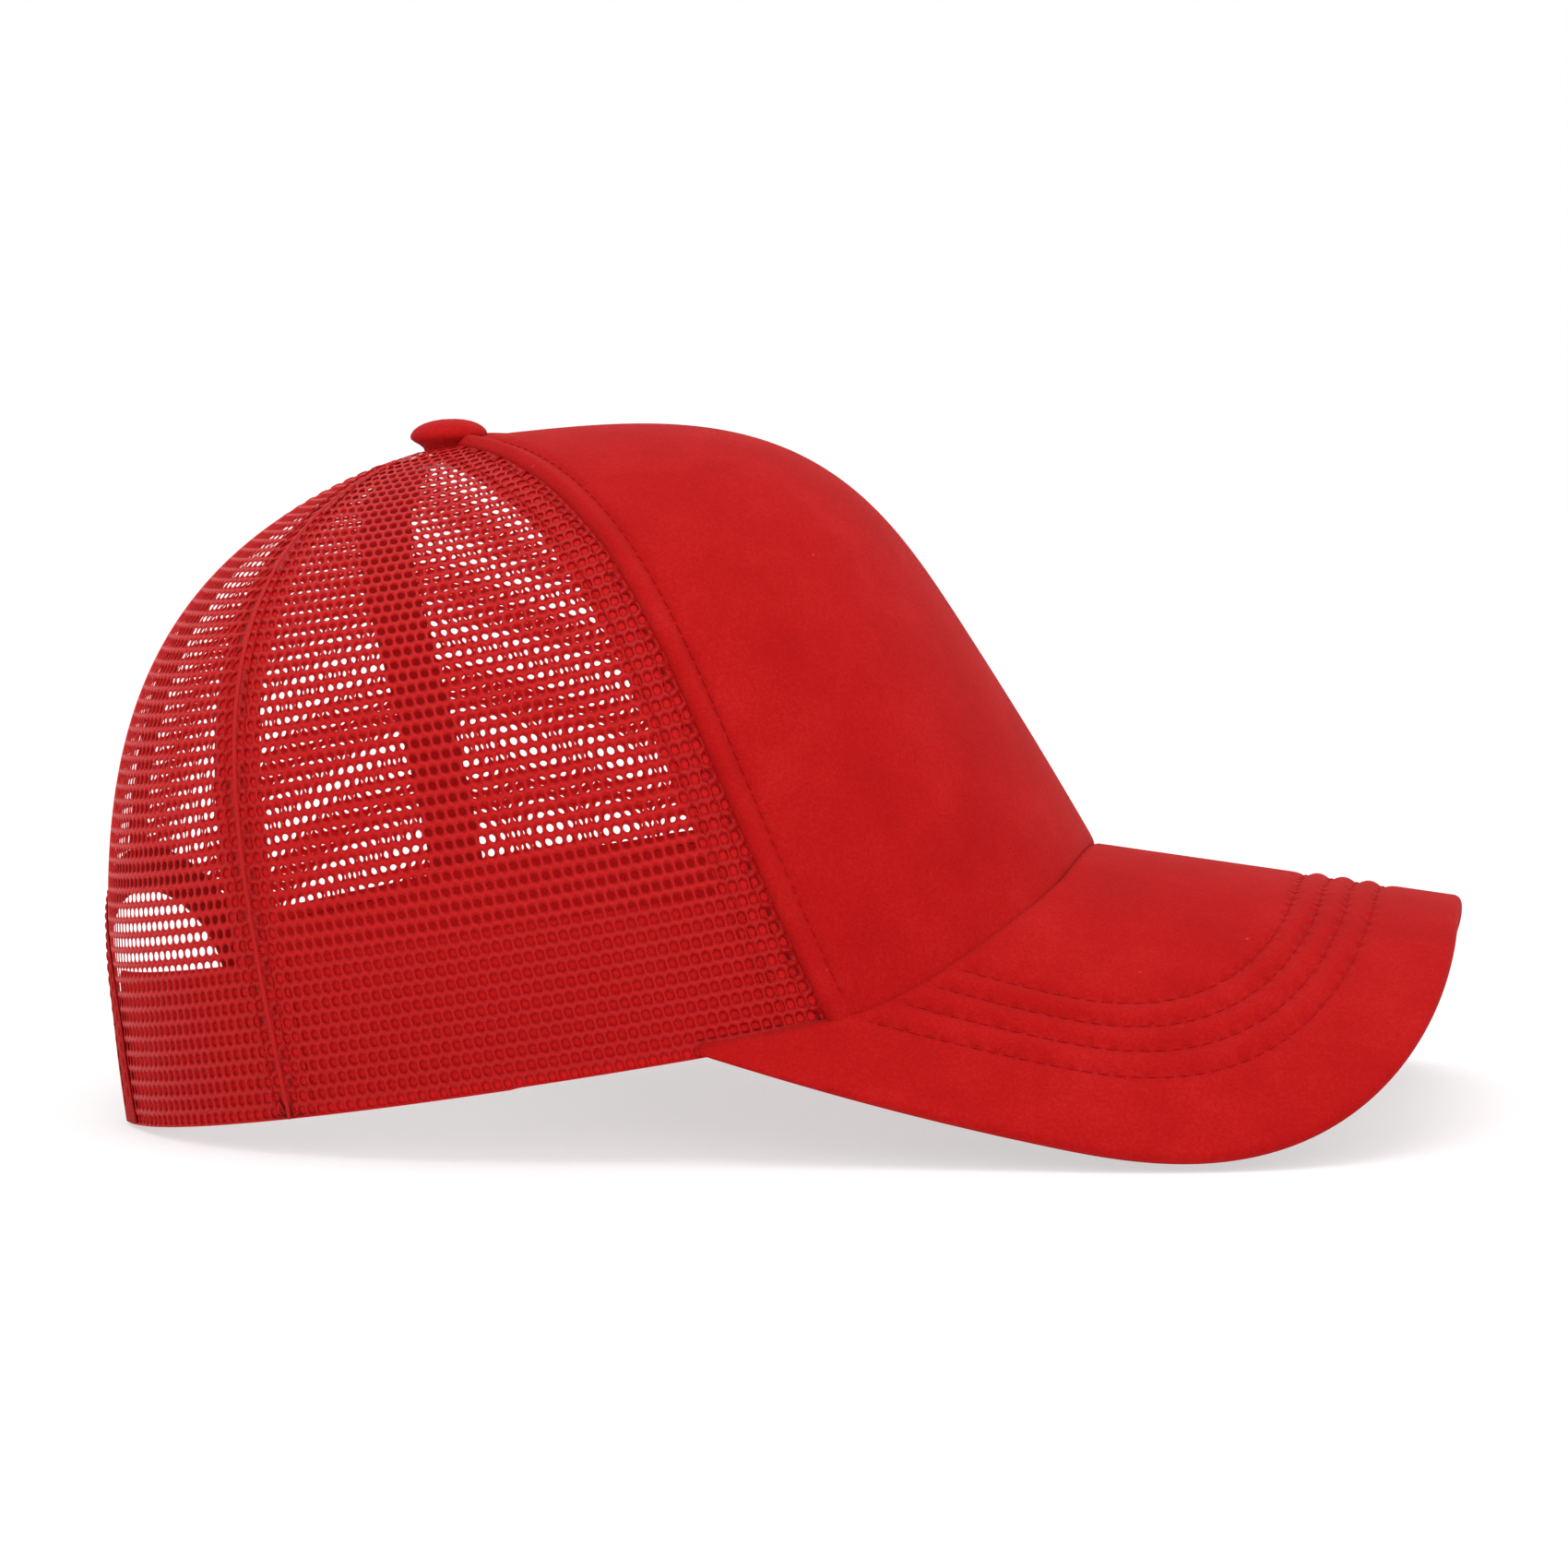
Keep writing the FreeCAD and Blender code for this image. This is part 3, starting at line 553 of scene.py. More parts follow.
# Painted light: the seam tapes are a brighter red than the outer cloth, to make up for the shade they lie
# in behind the net.
TAPE = woven("woven_tape", 0.55, ((0.50, 0.006, 0.007), (0.60, 0.008, 0.009)), False)
BINDING = woven("woven_binding", 0.55, (DEEP_RED, RED), False)
# Painted light: the sweatband's twill is brighter than the outer cloth, to make up for the shade it lies in
# behind the net.
TWILL = woven("sweatband_twill", 0.7, ((0.60, 0.007, 0.008), PAINTED_LIGHT_INNER_RED), True)
FOAM = open_foam()
THREAD = thread()
PLASTIC = moulded_plastic()
STEEL = pressed_steel()
BOARD = board_plastic()

# ---------------------------------------------------------------- netting


class Chart:
    """Flat coordinates of one panel: s across from its middle line and v up from the plane of
    the bottom edge, both in mm along the surface."""

    def __init__(self, start, stop):
        self.falls = np.linspace(1.0, CROWN_TOP, 200)
        shares = np.linspace(0, 1, 81)
        first, last = start(self.falls)[:, None], stop(self.falls)[:, None]
        self.angles = first + (last - first) * shares
        self.points = crown(self.angles, self.falls[:, None])
        along = lengths(self.points, 1)
        middle = len(shares) // 2
        self.s = along - along[:, middle : middle + 1]
        self.v = lengths(self.points[:, middle])
        bottom_angle = np.linspace(self.angles[0, 0], self.angles[0, -1], 60)
        edge_fall = bottom_fall(bottom_angle)
        self.edge_v = np.interp(1 - edge_fall, 1 - self.falls, self.v)
        self.edge_s = np.array(
            [
                np.interp(angle, self.row(self.angles, v), self.row(self.s, v))
                for angle, v in zip(bottom_angle, self.edge_v)
            ]
        )
        self.width = float((self.s[:, -1] - self.s[:, 0]).max())
        self.height = float(self.v[-1])

    def row(self, table, v):
        """A table's row at height v, between its stored rows."""
        at = np.interp(v, self.v, np.arange(len(self.v)))
        low = min(int(at), len(self.v) - 2)
        return table[low] + (table[low + 1] - table[low]) * (at - low)

    def ends(self, v):
        return np.interp(v, self.v, self.s[:, 0]), np.interp(v, self.v, self.s[:, -1])

    def bottom(self, s):
        return np.interp(s, self.edge_s, self.edge_v)

    def area(self, keep):
        """Flat area in mm2 of what the panel keeps above its bottom edge."""
        s, v = self.s[1:, 1:], self.v[1:, None]
        there = keep(self.points[1:, 1:].reshape(-1, 3)).reshape(s.shape) & (v > self.bottom(s))
        return float(np.sum(np.diff(self.s, axis=1)[1:] * np.diff(self.v)[:, None] * there))

    def place(self, s, v):
        """Angles and falls for points of the chart."""
        v = np.clip(v, self.v[0], self.v[-1])
        fall = np.interp(v, self.v, self.falls)
        angle = np.empty(len(s))
        heights, group = np.unique(np.round(v, 4), return_inverse=True)
        order = np.argsort(group, kind="stable")
        edges = np.searchsorted(group[order], np.arange(len(heights) + 1))
        for k, height in enumerate(heights):
            members = order[edges[k] : edges[k + 1]]
            angle[members] = np.interp(s[members], self.row(self.s, height), self.row(self.angles, height))
        return angle, fall


NET_PITCH = 2.2
NET_ROW = 3.0
NET_INTERLOCK = 0.28
NET_HOLE = (0.80, 0.92)
NET_HALF_THICKNESS = 0.13
NET_CLOTH_SHARE = 0.69
CELL_SIDES = 12

# How near to a panel's edge a hole's middle may lie, and how near a loose corner of the net is
# drawn to that edge: in pitches at the sides, in rows at the foot.
HOLE_MARGIN = 0.36
SIDE_REACH = 1.5
FOOT_REACH = 1.1


def cell_outline():
    """The boundary that a hole shares with its neighbours: a hexagon with the middles of its
    sides, from the top anticlockwise. Holes of the next row sit half a pitch along."""
    half, shoulder, tip = NET_PITCH / 2, NET_ROW / 2 - NET_INTERLOCK, NET_ROW / 2 + NET_INTERLOCK
    corners = np.array(
        [(0, tip), (-half, shoulder), (-half, -shoulder), (0, -tip), (half, -shoulder), (half, shoulder)]
    )
    outline = np.empty((CELL_SIDES, 2))
    outline[0::2] = corners
    outline[1::2] = (corners + np.roll(corners, -1, axis=0)) / 2
    return outline


def netting(name, chart, side, keep):
    """A knitted net of rounded strands: each hole's rim lies in the middle of the thickness, and
    the strands rise and fall between the holes."""
    rows = np.arange(int(chart.height / NET_ROW) + 1)
    reach = int(chart.width / NET_PITCH / 2) + 3
    s, row = np.meshgrid(np.arange(-reach, reach + 1) * NET_PITCH, rows)
    s = s + (row % 2) * NET_PITCH / 2
    centres = np.stack([s.ravel(), (row.ravel() + 0.45) * NET_ROW], -1)
    s, v = centres.T
    low, high = chart.ends(v)
    margin = HOLE_MARGIN * NET_PITCH
    inside = (s > low + margin) & (s < high - margin)
    inside &= (v > chart.bottom(s) + HOLE_MARGIN * NET_ROW) & (v < chart.height - NET_ROW)
    centres = centres[inside]
    centres = centres[keep(crown(*chart.place(*centres.T)))]

    rim = (centres[:, None] + cell_outline()[None]).reshape(-1, 2)
    _, first, index, uses = np.unique(
        np.round(rim, 3), axis=0, return_index=True, return_inverse=True, return_counts=True
    )
    corners = rim[first].copy()
    index = index.reshape(-1, CELL_SIDES)
    full_use = np.where(first % 2 == 0, 3, 2)
    loose = uses < full_use
    floor = chart.bottom(corners[:, 0])
    near = loose & (corners[:, 1] - floor < FOOT_REACH * NET_ROW)
    corners[near, 1] = floor[near]
    low, high = chart.ends(corners[:, 1])
    for end, gap in ((low, corners[:, 0] - low), (high, high - corners[:, 0])):
        near = loose & (gap < SIDE_REACH * NET_PITCH)
        corners[near, 0] = end[near]

    turn = math.pi / 2 + 2 * math.pi * np.arange(CELL_SIDES) / CELL_SIDES
    hole = np.stack([NET_HOLE[0] * np.cos(turn), NET_HOLE[1] * np.sin(turn)], -1)
    holes = (centres[:, None] + hole[None]).reshape(-1, 2)

    strand, edge = chart.place(*corners.T), chart.place(*holes.T)
    outer = crown_at(*strand, MESH_MIDDLE + NET_HALF_THICKNESS)
    inner = crown_at(*strand, MESH_MIDDLE - NET_HALF_THICKNESS)
    points = np.concatenate([outer, inner, crown_at(*edge, MESH_MIDDLE)])
    count = len(corners)
    ring = 2 * count + np.arange(len(holes)).reshape(-1, CELL_SIDES)
    after, ring_after = np.roll(index, -1, axis=1), np.roll(ring, -1, axis=1)
    top = np.stack([index, after, ring_after, ring], -1).reshape(-1, 4)
    bottom = np.stack([after + count, index + count, ring, ring_after], -1).reshape(-1, 4)
    pairs = np.stack([index, after], -1).reshape(-1, 2)
    key = np.sort(pairs, axis=1)
    _, where, times = np.unique(key, axis=0, return_index=True, return_counts=True)
    a, b = pairs[where[times == 1]].T
    walls = np.stack([b, a, a + count, b + count], -1)
    faces = np.concatenate([top, bottom, walls])
    if side == RIGHT:
        faces = faces[:, ::-1]
    return mesh_object(name, points * (1, side, 1), faces, NET)


def outside_arch(points):
    """Where the back panels go on: above the opening's outline, whose edge the binding hides."""
    margin = 3.0
    wide = np.abs(points[..., 1]) / (ARCH_HALF_WIDTH + margin)
    tall = (points[..., 2] - ARCH_STRAIGHT) / (ARCH_RISE + margin)
    return np.where(tall > 0, wide**2 + tall**2 > 1, wide > 1)


def everywhere(points):
    return np.ones(len(points), bool)


def add_netting():
    gap = 0.15
    panels = [
        ("side_mesh", beside(front_seam, gap), beside(side_seam, -gap), everywhere),
        ("back_mesh", beside(side_seam, gap), beside(back_seam, -gap), outside_arch),
    ]
    for node, start, stop, keep in panels:
        chart = Chart(start, stop)
        for side, word in SIDES:
            name = "%s_%s" % (node, word)
            piece = dress(netting(name + "_net", chart, side, keep), "mesh", name)
            area = chart.area(keep) / 1e6 * NET_CLOTH_SHARE


# ---------------------------------------------------------------- front panel


def crown_grid(start, stop, across, top, bottom, down):
    """Angles and falls of a grid between two lines, from fall top to fall bottom. top and bottom
    give a fall for an angle."""
    across, down = np.meshgrid(across, down, indexing="ij")
    fall = CROWN_TOP + (1 - CROWN_TOP) * down
    for _ in range(3):
        angle = start(fall) + (stop(fall) - start(fall)) * across
        high = top(angle)
        fall = high + (bottom(angle) - high) * down
    return angle, fall


def always(value):
    return lambda like: np.full(np.shape(like), value)


LIP_HEIGHT = 0.75
LIP_CENTRE = 2.1
LIP_WIDTH = 1.4
VALLEY_DEPTH = 0.65
VALLEY_CENTRE = 4.7
VALLEY_WIDTH = 1.1
FADE_HEIGHT = 70.0
EDGE_ROLL = 1.6
SEAM_DEPTH = 0.5
TUCK_DEPTH = 0.6
HOLLOW_DEPTH = 1.5
HOLLOW_ANGLE = 0.7
HOLLOW_MIDDLE_Z = 72.0
HOLLOW_SPREAD = 28.0
CLOTH_THICKNESS = 0.75
FOAM_OFFSET = 0.85
FOAM_INNER = -2.5


def face_height(distance, above_brim):
    """How proud the cloth stands: a rolled lip along the seams, the topstitch's valley beside
    it, both fading downwards, the even foam beyond, and a tuck where it meets the brim."""
    strength = 0.45 + 0.55 * np.clip(above_brim / FADE_HEIGHT, 0, 1)
    lip = LIP_HEIGHT * strength * np.exp(-(((distance - LIP_CENTRE) / LIP_WIDTH) ** 2))
    valley = VALLEY_DEPTH * strength * np.exp(-(((distance - VALLEY_CENTRE) / VALLEY_WIDTH) ** 2))
    tuck = TUCK_DEPTH * np.exp(-above_brim)
    inwards = np.clip(distance / EDGE_ROLL, 0, 1)
    roll = np.sqrt(inwards * (2 - inwards))
    return -SEAM_DEPTH + (CLOTH_PROUD + SEAM_DEPTH + lip - valley) * roll - tuck


def front_stop(fall):
    return beside(front_seam, 0.35)(fall)


def front_start(fall):
    return -front_stop(fall)


def edge_shares():
    """Columns of the front panel, closer together near the seams."""
    near = np.linspace(0, 0.07, 26)
    return np.concatenate([near, np.linspace(0.07, 0.93, 92)[1:-1], 1 - near[::-1]])


def add_front():
    down = np.concatenate([np.linspace(0, 0.965, 118)[:-1], np.linspace(0.965, 1, 12)])
    angle, fall = crown_grid(front_start, front_stop, edge_shares(), always(CROWN_TOP), bottom_fall, down)
    surface = crown(angle, fall)
    across = lengths(surface)
    distance = np.minimum(across, across[-1] - across)
    below = lengths(surface, 1)
    above_brim = below[:, -1:] - below
    off_middle = (surface[..., 2] - HOLLOW_MIDDLE_Z) / HOLLOW_SPREAD
    hollow = HOLLOW_DEPTH * np.exp(-((angle / HOLLOW_ANGLE) ** 2) - off_middle**2)
    height = face_height(distance, above_brim) - hollow
    face = crown_sheet("front_cloth", angle, fall, height, height - CLOTH_THICKNESS, CLOTH)
    dress(face, "face_cloth", "front_panel_face")

    step = 3
    angle, fall, height = angle[::step, ::step], fall[::step, ::step], height[::step, ::step]
    foam = crown_sheet("front_foam", angle, fall, height - FOAM_OFFSET, FOAM_INNER, FOAM)
    dress(foam, "foam", "front_panel_foam")

    spines = []
    for side in (RIGHT, LEFT):
        falls = np.linspace(0.10, float(bottom_fall(np.array(FRONT_SEAM))) - 0.02, 300)
        line = beside(front_seam, -VALLEY_CENTRE)(falls)
        climb = lengths(crown(line, falls))
        depth = face_height(VALLEY_CENTRE, climb[-1] - climb)
        spines.append(crown_stitches(line, falls, depth, side))
    add_stitches("front_topstitch", spines, "face_cloth")


# ---------------------------------------------------------------- seam tapes and bands


SEAM_TOP = 0.08
RIDGE_HALF_WIDTH = 0.55
RIDGE_RISE = 0.3
STITCH_OFFSETS = (2.6, 7.2)
STITCH_PROUD = MESH_MIDDLE + NET_HALF_THICKNESS + 0.05


def seam_grid(seam, first, last, across, bottom, rows):
    """Angles and falls of a strip along a seam, between two distances from it."""
    start, stop, down = beside(seam, first), beside(seam, last), np.linspace(0, 1, rows)
    return crown_grid(start, stop, across, always(SEAM_TOP), bottom, down)


def add_tape(name, side, seam, first, last, bottom, node):
    """A flat woven tape with pressed, slightly rounded edges, sewn along a seam's inside."""
    across = np.array([0.0, 0.04, 0.12, 0.5, 0.88, 0.96, 1.0])
    angle, fall = seam_grid(seam, first, last, across, bottom, 70)
    edge = np.array([0.15, 0.05, 0.0, 0.0, 0.0, 0.05, 0.15])[:, None]
    outside, inside = TAPE_FACES[0] - edge, TAPE_FACES[1] + edge
    dress(crown_sheet(name, angle, fall, outside, inside, TAPE, side, True), "tape", node)


def arch_top_fall():
    """Where the back seam comes down to the binding over the opening."""
    top = ARCH_STRAIGHT + ARCH_RISE + BINDING_WIDTH / 2
    falls = np.linspace(0.5, 1, 400)
    return float(np.interp(-top, -crown(math.pi, falls)[:, 2], falls))


def add_tapes():
    half = TAPE_WIDTH / 2
    for side, word in SIDES:
        for place, seam, first, last in (
            ("front", front_seam, 0.2, 0.75 * TAPE_WIDTH),
            ("side", side_seam, -half, half),
        ):
            name, node = "%s_tape_%s" % (place, word), "%s_seam_tape_%s" % (place, word)
            add_tape(name, side, seam, first, last, bottom_fall, node)
    add_tape("back_tape", LEFT, back_seam, -half, half, always(arch_top_fall()), "back_seam_tape")


def add_ridge(name, side, seam, bottom):
    """The folded edges of two mesh panels, sewn together in a low ridge."""
    across = np.linspace(0, 1, 9)
    angle, fall = seam_grid(seam, -RIDGE_HALF_WIDTH, RIDGE_HALF_WIDTH, across, bottom, 120)
    rise = (np.sin(math.pi * across) * RIDGE_RISE)[:, None]
    outside, inside = MESH_MIDDLE + 0.05 + rise, MESH_MIDDLE - 0.35
    dress(crown_sheet(name, angle, fall, outside, inside, NET, side), "mesh")


def add_seam_folds():
    """Where two mesh panels meet, their edges fold inwards in a thin raised ridge, with a row of
    stitches on each side. Behind the front panel, two rows hold the mesh to the tape."""
    near, far = STITCH_OFFSETS
    foot = float(bottom_fall(np.array(FRONT_SEAM)))
    rows = [
        (side_seam, 0.995, 300, (-near, near)),
        (front_seam, foot - 0.01, 300, (near, far)),
        (back_seam, arch_top_fall() - 0.01, 200, (-near,)),
    ]
    spines = []
    for seam, lowest, count, offsets in rows:
        falls = np.linspace(0.1, lowest, count)
        for side in (RIGHT, LEFT):
            for offset in offsets:
                spines.append(crown_stitches(beside(seam, offset)(falls), falls, STITCH_PROUD, side))
    add_stitches("seam_stitching", spines, "mesh")

    for side, word in SIDES:
        add_ridge("side_ridge_" + word, side, side_seam, bottom_fall)
    add_ridge("back_ridge", LEFT, back_seam, always(arch_top_fall() - 0.004))


BAND_HEIGHT = 31.5
BAND_END_Y = 46.0
BAND_FACES = (-1.2, -2.65)
BAND_FOOT = 0.4
BAND_STITCH_HEIGHTS = (3.2, 28.5)


def fall_above_edge(angle, height):
    """Where meridians are height above the bottom edge, along the surface."""
    falls = bottom_fall(angle)[:, None] - np.linspace(0, 0.45, 90)
    climb = lengths(crown(angle[:, None], falls), 1)
    return np.array([np.interp(height, *column) for column in zip(climb, falls)])


def add_sweatband():
    """A twill band inside the bottom edge. Its foot turns outwards to the seam, and its top is
    a plain fold."""
    angles = np.linspace(math.pi / 2, math.pi, 400)
    last = float(np.interp(-BAND_END_Y, -crown(angles, 1.0)[:, 1], angles))
    angle = np.linspace(-last, last, 240)
    low = bottom_fall(angle)
    high = fall_above_edge(angle, BAND_HEIGHT)
    down = np.array([0.0, 0.01, 0.03, 0.08, 0.2, 0.35, 0.5, 0.65, 0.78, 0.87, 0.93, 0.965, 0.985, 1.0])
    fall = high[:, None] + (low - high)[:, None] * down
    wide = np.broadcast_to(angle[:, None], fall.shape)
    foot = BAND_FOOT * np.clip((down - 0.87) / 0.13, 0, 1) ** 2
    top_round = np.array([0.45, 0.2, 0.05] + [0.0] * (len(down) - 3))
    ripple = 0.05 * np.sin(wide * 23.0) * np.sin(down * math.pi)
    outside = BAND_FACES[0] + foot - top_round + ripple
    inside = BAND_FACES[1] + foot + top_round + ripple
    band = crown_sheet("sweatband_twill_band", wide, fall, outside, inside, TWILL, laid_out=True)
    dress(band, "sweatband_cloth", "sweatband")
    length = float(lengths(crown_at(wide, fall, -1.9))[-1].mean())

    spines = []
    path_angle = np.linspace(-last + 0.02, last - 0.02, 900)
    for height, proud in zip(BAND_STITCH_HEIGHTS, (-2.55, -2.7)):
        falls = fall_above_edge(path_angle, height)
        path = crown_at(path_angle, falls, proud)
        spines.append(stitch_spines(path, -crown_normal(path_angle, falls)))
    add_stitches("sweatband_stitching", spines, "sweatband_cloth")


# ---------------------------------------------------------------- rear arch


def crown_behind(path, proud):
    """Points and normals of the crown's back over places (y, z) of the plane behind it."""
    y, z = path.T
    angle = math.pi * np.where(y < 0, 1.03, 0.97)
    fall = np.full(len(path), 0.8)
    step = 1e-4
    for _ in range(12):
        at = crown_at(angle, fall, proud)
        da = (crown_at(angle + step, fall, proud) - at) / step
        df = (crown_at(angle, fall + step, proud) - at) / step
        ey, ez = y - at[..., 1], z - at[..., 2]
        det = da[..., 1] * df[..., 2] - da[..., 2] * df[..., 1]
        angle = angle + (ey * df[..., 2] - ez * df[..., 1]) / det
        fall = np.clip(fall + (da[..., 1] * ez - da[..., 2] * ey) / det, 0.3, 1.05)
    return crown_at(angle, fall, proud), crown_normal(angle, fall)


def arch_path(outward, count):
    """The opening's outline in (y, z), moved outward, from the wearer's left foot over the top."""
    wide, tall = ARCH_HALF_WIDTH + outward, ARCH_RISE + outward
    turn = np.linspace(0, math.pi, 241)
    curve = np.stack([wide * np.cos(turn), ARCH_STRAIGHT + tall * np.sin(turn)], -1)
    return divided(np.concatenate([[(wide, ARCH_FOOT)], curve, [(-wide, ARCH_FOOT)]]), count)


def add_binding():
    """A folded tape that grips the mesh round the opening: its fold is round, its two legs are
    flat, and both carry a row of stitches."""
    count = 160
    legs = [(8.6, -0.15), (8.3, -0.02), (7.6, 0.05), (5.0, 0.06), (2.5, 0.06), (1.0, 0.06)]
    fold = [
        (0.6 - 1.2 * math.sin(turn), MESH_MIDDLE + 0.56 * math.cos(turn))
        for turn in np.linspace(0.15, math.pi - 0.15, 9)
    ]
    inner_legs = [(reach, 2 * MESH_MIDDLE - proud) for reach, proud in reversed(legs)]
    lining = [(8.6, -0.2), (5.0, -0.22), (2.0, -0.22), (0.7, -0.3), (0.3, -0.5)]
    lining += [(reach, 2 * MESH_MIDDLE - proud) for reach, proud in lining[3::-1]]
    profile = legs + fold + inner_legs + lining[::-1]
    grid = np.stack([crown_behind(arch_path(out, count), proud)[0] for out, proud in profile], 1)
    faces = tube_faces(1, count, len(profile))
    uv = cloth_uv(grid).reshape(-1, 2)
    binding = mesh_object("arch_binding_tape", grid.reshape(-1, 3), faces, BINDING, uv)
    dress(binding, "tape", "arch_binding")

    spines = []
    for outward in STITCH_OFFSETS:
        path = arch_path(outward, 500)[6:-6]
        for proud, sign in ((0.04, 1), (-1.04, -1)):
            line, normal = crown_behind(path, proud)
            spines.append(stitch_spines(line, normal * sign))
    add_stitches("binding_stitching", spines, "tape")


# ---------------------------------------------------------------- brim

ROW_CENTRE_X = 100.0
ROW_COUNT = 4
ROW_OUTER = (62.0, 74.0)
ROW_STEP = (5.0, 4.3)
ROW_RADIUS = 64.0
ROW_EXPONENTS = (2.6, 3.0)
GROOVE_DEPTH = 0.6
GROOVE_WIDTH = 1.15
PUFF_HEIGHT = 0.4
PUFF_WIDTH = 1.6
SEAM_LIFT = 3.2
LIFT_START_Y = 22.0
LIFT_SPREAD = 40.0
LIFT_REACH = 14.0


def cover_z(x, y):
    """Height of the covered brim: it turns up into the crown's seam along the sides."""
    ahead, side = CROWN_FOOT[0] + FACE_PROUD, CROWN_FOOT[1] + FACE_PROUD
    off_crown = (np.hypot(x / ahead, y / side) - 1) * 100
    beside_front = np.clip((np.abs(y) - LIFT_START_Y) / LIFT_SPREAD, 0, 1)
    rise = SEAM_LIFT * beside_front**2 * (3 - 2 * beside_front)
    return brim_z(x, y) + rise * np.exp(-np.clip(off_crown, 0, None) / LIFT_REACH)


def brim_normal(x, y):
    step = 0.5
    slope_x = (cover_z(x + step, y) - cover_z(x - step, y)) / (2 * step)
    slope_y = (cover_z(x, y + step) - cover_z(x, y - step)) / (2 * step)
    return unit(np.stack([-slope_x, -slope_y, np.ones_like(slope_x)], -1))


def brim_at(x, y, depth):
    """Points below the brim's top surface, measured square to it."""
    depth = np.broadcast_to(depth, np.shape(x))
    return np.stack([x, y, cover_z(x, y)], -1) - brim_normal(x, y) * depth[..., None]


def row_sizes(number):
    return ROW_OUTER[0] - ROW_STEP[0] * number, ROW_OUTER[1] - ROW_STEP[1] * number


def off_row(x, y, number):
    """Rough distance of plan points from a stitched row, exactly 0 on it."""
    reach, half_width = row_sizes(number)
    ahead = np.clip(x - ROW_CENTRE_X, 0, None) / reach
    ratio = ahead ** ROW_EXPONENTS[0] + (np.abs(y) / half_width) ** ROW_EXPONENTS[1]
    scale = ratio ** (2 / sum(ROW_EXPONENTS)) - 1
    return scale * np.hypot(np.clip(x - ROW_CENTRE_X, 0, None), y)


def quilting(x, y):
    """Depth of the stitched grooves, and the puffed cloth between them, at points of the plan."""
    depth = np.zeros(np.shape(x))
    for number in range(ROW_COUNT):
        off = off_row(x, y, number)
        depth += GROOVE_DEPTH * np.exp(-((off / GROOVE_WIDTH) ** 2))
        if number < ROW_COUNT - 1:
            middle = 0.5 * (off + off_row(x, y, number + 1))
            depth -= PUFF_HEIGHT * np.exp(-((middle / PUFF_WIDTH) ** 2))
    return depth


def brim_thickness(x):
    """The brim thins towards its rear corners, where it runs out into the crown's seam."""
    share = np.clip((x - BRIM_CORNER_X) / 60.0, 0, 1)
    return BRIM_THICKNESS * (0.12 + 0.88 * share * (2 - share))


def quarter_oval(start_x, reach, half_width, exponents, count):
    """Plan of a boxy quarter of an oval, from its widest place to its tip."""
    turn = np.linspace(0, math.pi / 2, count)
    x = start_x + reach * np.sin(turn) ** (2 / exponents[0])
    y = half_width * np.clip(np.cos(turn), 0, 1) ** (2 / exponents[1])
    return np.stack([x, y], -1)


def mirrored(half):
    """A path on the wearer's left, run from its mirror image on the right."""
    return np.concatenate([half[:-1] * (1, -1), half[::-1]])


def brim_lines(columns, corner_x, corner_width, inset):
    """Angles and plan of the brim's rear edge along the crown, and plan of its outer edge."""
    corner = math.acos(corner_x / CROWN_FOOT[0])
    angle = np.linspace(-corner, corner, columns)
    seam = crown_at(angle, bottom_fall(angle), FACE_PROUD + 0.05)[:, :2]
    start = seam[-1] + (corner_width / 2, corner_width)
    reach, half_width = BRIM_TIP_X - inset - BRIM_WIDEST_X, BRIM_HALF_WIDTH - inset
    along = np.linspace(0, 1, 61)[:-1]
    back_x = start[0] + (BRIM_WIDEST_X - start[0]) * along
    back_y = start[1] + (half_width - start[1]) * (1 - (1 - along) ** 2)
    front = quarter_oval(BRIM_WIDEST_X, reach, half_width, BRIM_EXPONENTS, 400)
    edge = divided(mirrored(np.concatenate([np.stack([back_x, back_y], -1), front])), columns)
    edge[:, 0] -= BRIM_SKEW * edge[:, 1] * (np.clip(edge[:, 0] - BRIM_WIDEST_X, 0, None) / reach) ** 2
    return angle, seam, edge


COVER_THICKNESS = 0.8
COVER_COLUMNS = 330


